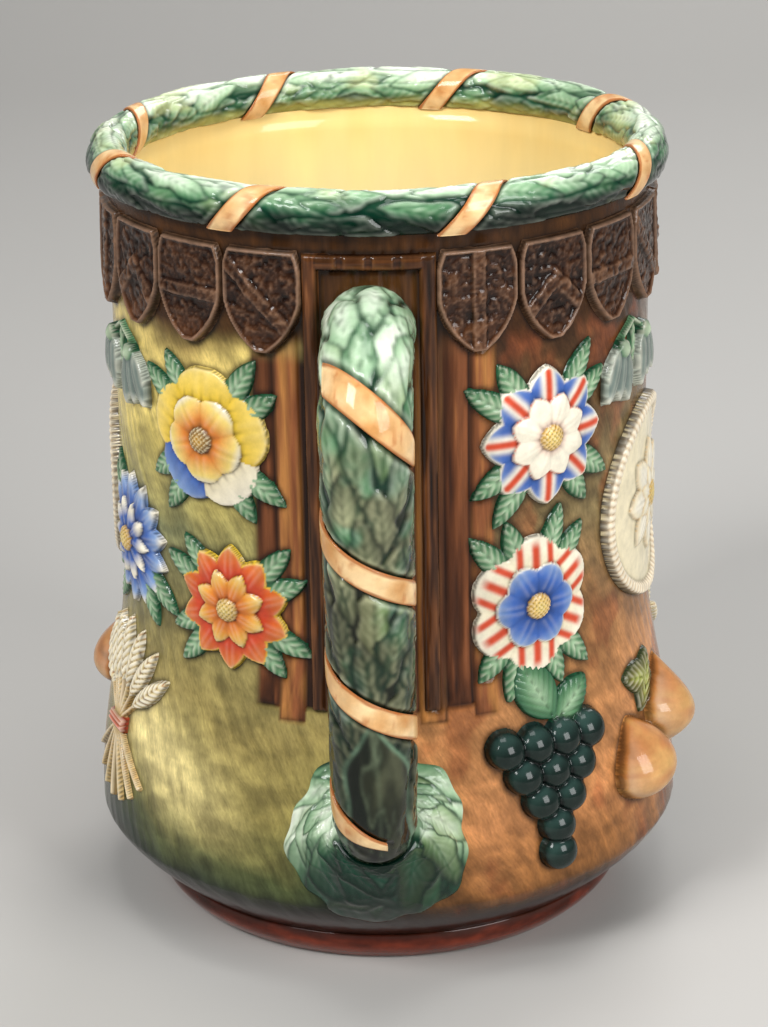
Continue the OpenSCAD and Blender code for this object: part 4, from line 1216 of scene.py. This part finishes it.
def leaf_collar():
    mean, core = 0.68 * COLLAR_R, 0.72 * HANDLE_R_FOOT
    q = np.linspace(0, 360, 320, endpoint=False)[None, :]
    c = np.radians(q)
    out = COLLAR_R * (0.94 + 0.04 * np.cos(5 * c + 0.9) + 0.02 * np.cos(13 * c))
    t = np.linspace(0, 1, 90)[:, None]
    rho = core + (out - core) * t
    arc, around = mean * c + 0 * t, 2 * math.pi * mean
    high, tone, inside, rib = lay_leaves(rho, arc, collar_leaves(mean), around)
    cuts = furrows(arc + around / 2, rho, around, (15.0, 4.5), 95)
    high = soften(high - 0.25 * cuts, 1, wrap=1)
    high = high * smooth(-0.04, 0.16, t) * (1 - 0.5 * smooth(0.8, 1.0, t))
    sheet = collar_sheet(t + 0 * q, q + 0 * t, out)
    outward, sideways = np.gradient(sheet, axis=0), np.roll(sheet, -1, 1) - np.roll(sheet, 1, 1)
    normal = np.cross(sideways, outward)
    normal = normal / np.linalg.norm(normal, axis=-1, keepdims=True)
    right, left = smooth(0.1, 0.9, np.sin(c)), smooth(0.1, 0.9, -np.sin(c))
    below = smooth(0.0, 0.8, np.cos(c))
    up = 0.42 + 0.42 * right + 0.58 * left - 0.7 * below + 0.25 * smooth(0.5, 0.1, t) * (1 - below)
    rgb = laurel_paint(tone, inside, rib, up + 0.45 * ripple(sheet, 12.0, 92))
    rgb = pool(high, rgb, 4, 0.25, 0.3, ICE, wrap=1)
    rgb = mix(rgb, FURROW, 0.3 * cuts)
    # Painted shade: the lower side of the collar is painted deep green
    rgb = mix(rgb, shade("0f3a2b", 0.25 + 0.9 * inside), 0.86 * below)
    rgb = soften(rgb, 1, wrap=1)
    lip = collar_sheet(0 * q, q, out, -1.0)
    rings = (out, 0.8 * out, 0.6 * out, HANDLE_R_FOOT - 2)
    under = [on_wall(0, d * np.sin(c), HANDLE_FOOT_Z - d * np.cos(c), -COLLAR_SINK) for d in rings]
    grid = np.concatenate([lip, sheet + normal * high[..., None]] + under)
    # The lip at the handle and the underside down to the wall are painted darker, as painted shade
    inks = np.concatenate([rgb[:1] * 0.6, rgb, np.repeat(rgb[-1:] * 0.4, len(rings), 0)])
    both_ends("leaf_collar", grid, inks, True)


leaf_collar()


# Stage, in metres
LIT_POINT = Vector((0, 0, 0.13))


def stage_material(name, colour):
    mat, tree = new_material(name)
    cloud = add_node(tree, "ShaderNodeTexNoise", {"Scale": 3})["Fac"]
    tone = add_node(tree, "ShaderNodeMapRange", {"Value": cloud, "To Min": 0.97, "To Max": 1.0})["Result"]
    paper = scaled(tree, linear(colour), tone)
    feed(tree, tree.nodes["Principled BSDF"], {"Base Color": paper, "Roughness": 0.6})
    return mat


def stage():
    """A pale floor that sweeps up behind the cup and far in front of it."""
    half_width, front, back, bend, high = 4.0, -3.2, 1.2, 0.8, 2.5
    arc = [(bend * math.sin(a), bend - bend * math.cos(a)) for a in np.linspace(0, math.pi / 2, 16)]
    rise = [(front - y, z) for y, z in arc[::-1]]
    line = [(front - bend, high)] + rise + [(back + y, z) for y, z in arc] + [(back + bend, high)]
    points = [(x, y, z) for y, z in line for x in (-half_width, half_width)]
    faces = [(2 * i, 2 * i + 1, 2 * i + 3, 2 * i + 2) for i in range(len(line) - 1)]
    mesh = bpy.data.meshes.new("floor")
    mesh.from_pydata(points, [], faces)
    mesh.polygons.foreach_set("use_smooth", [True] * len(faces))
    mesh.materials.append(stage_material("floor paper", "b2b0ac"))
    floor = bpy.data.objects.new("floor", mesh)
    bpy.context.scene.collection.objects.link(floor)


def lamp(name, stands, size, power):
    """A square soft lamp that points at the middle of the cup."""
    light = bpy.data.lights.new(name, "AREA")
    light.size = size
    light.energy = power
    ob = bpy.data.objects.new(name, light)
    ob.location = stands
    ob.rotation_euler = (LIT_POINT - ob.location).to_track_quat("-Z", "Y").to_euler()
    bpy.context.scene.collection.objects.link(ob)


stage()
lamp("key", (-0.9, -1.15, 1.35), 0.6, 28)
lamp("fill", (1.2, -1.2, 0.9), 0.9, 27)
lamp("top", (0.05, -0.2, 1.7), 0.7, 9)
lamp("back", (0.5, 1.3, 1.3), 0.9, 13)

world = bpy.data.worlds.new("studio")
world.use_nodes = True
sky = {"Color": (0.9, 0.93, 1.0, 1), "Strength": 0.15}
feed(world.node_tree, world.node_tree.nodes["Background"], sky)
bpy.context.scene.world = world

# Camera, from the ellipses of the rim and foot in a 768 by 1027 picture
IMAGE_H = 1027
DISTANCE, HEIGHT, FOCAL_PX = 900.0, 459.6, 2943.5
PITCH, ROLL, AZIMUTH = math.radians(20.46), math.radians(-1.03), 2.2
camera = bpy.data.cameras.new("camera")
camera.sensor_fit = "VERTICAL"
camera.sensor_height = 36
camera.lens = FOCAL_PX * camera.sensor_height / IMAGE_H
view = bpy.data.objects.new("camera", camera)
stand = polar(DISTANCE, AZIMUTH, HEIGHT) * MM
turn_z = Matrix.Rotation(math.radians(AZIMUTH), 4, "Z")
tilt = Matrix.Rotation(math.pi / 2 - PITCH, 4, "X")
view.matrix_world = Matrix.Translation(Vector(stand)) @ turn_z @ tilt @ Matrix.Rotation(ROLL, 4, "Z")
bpy.context.scene.collection.objects.link(view)
bpy.context.scene.camera = view
bpy.context.scene.view_settings.view_transform = "Standard"
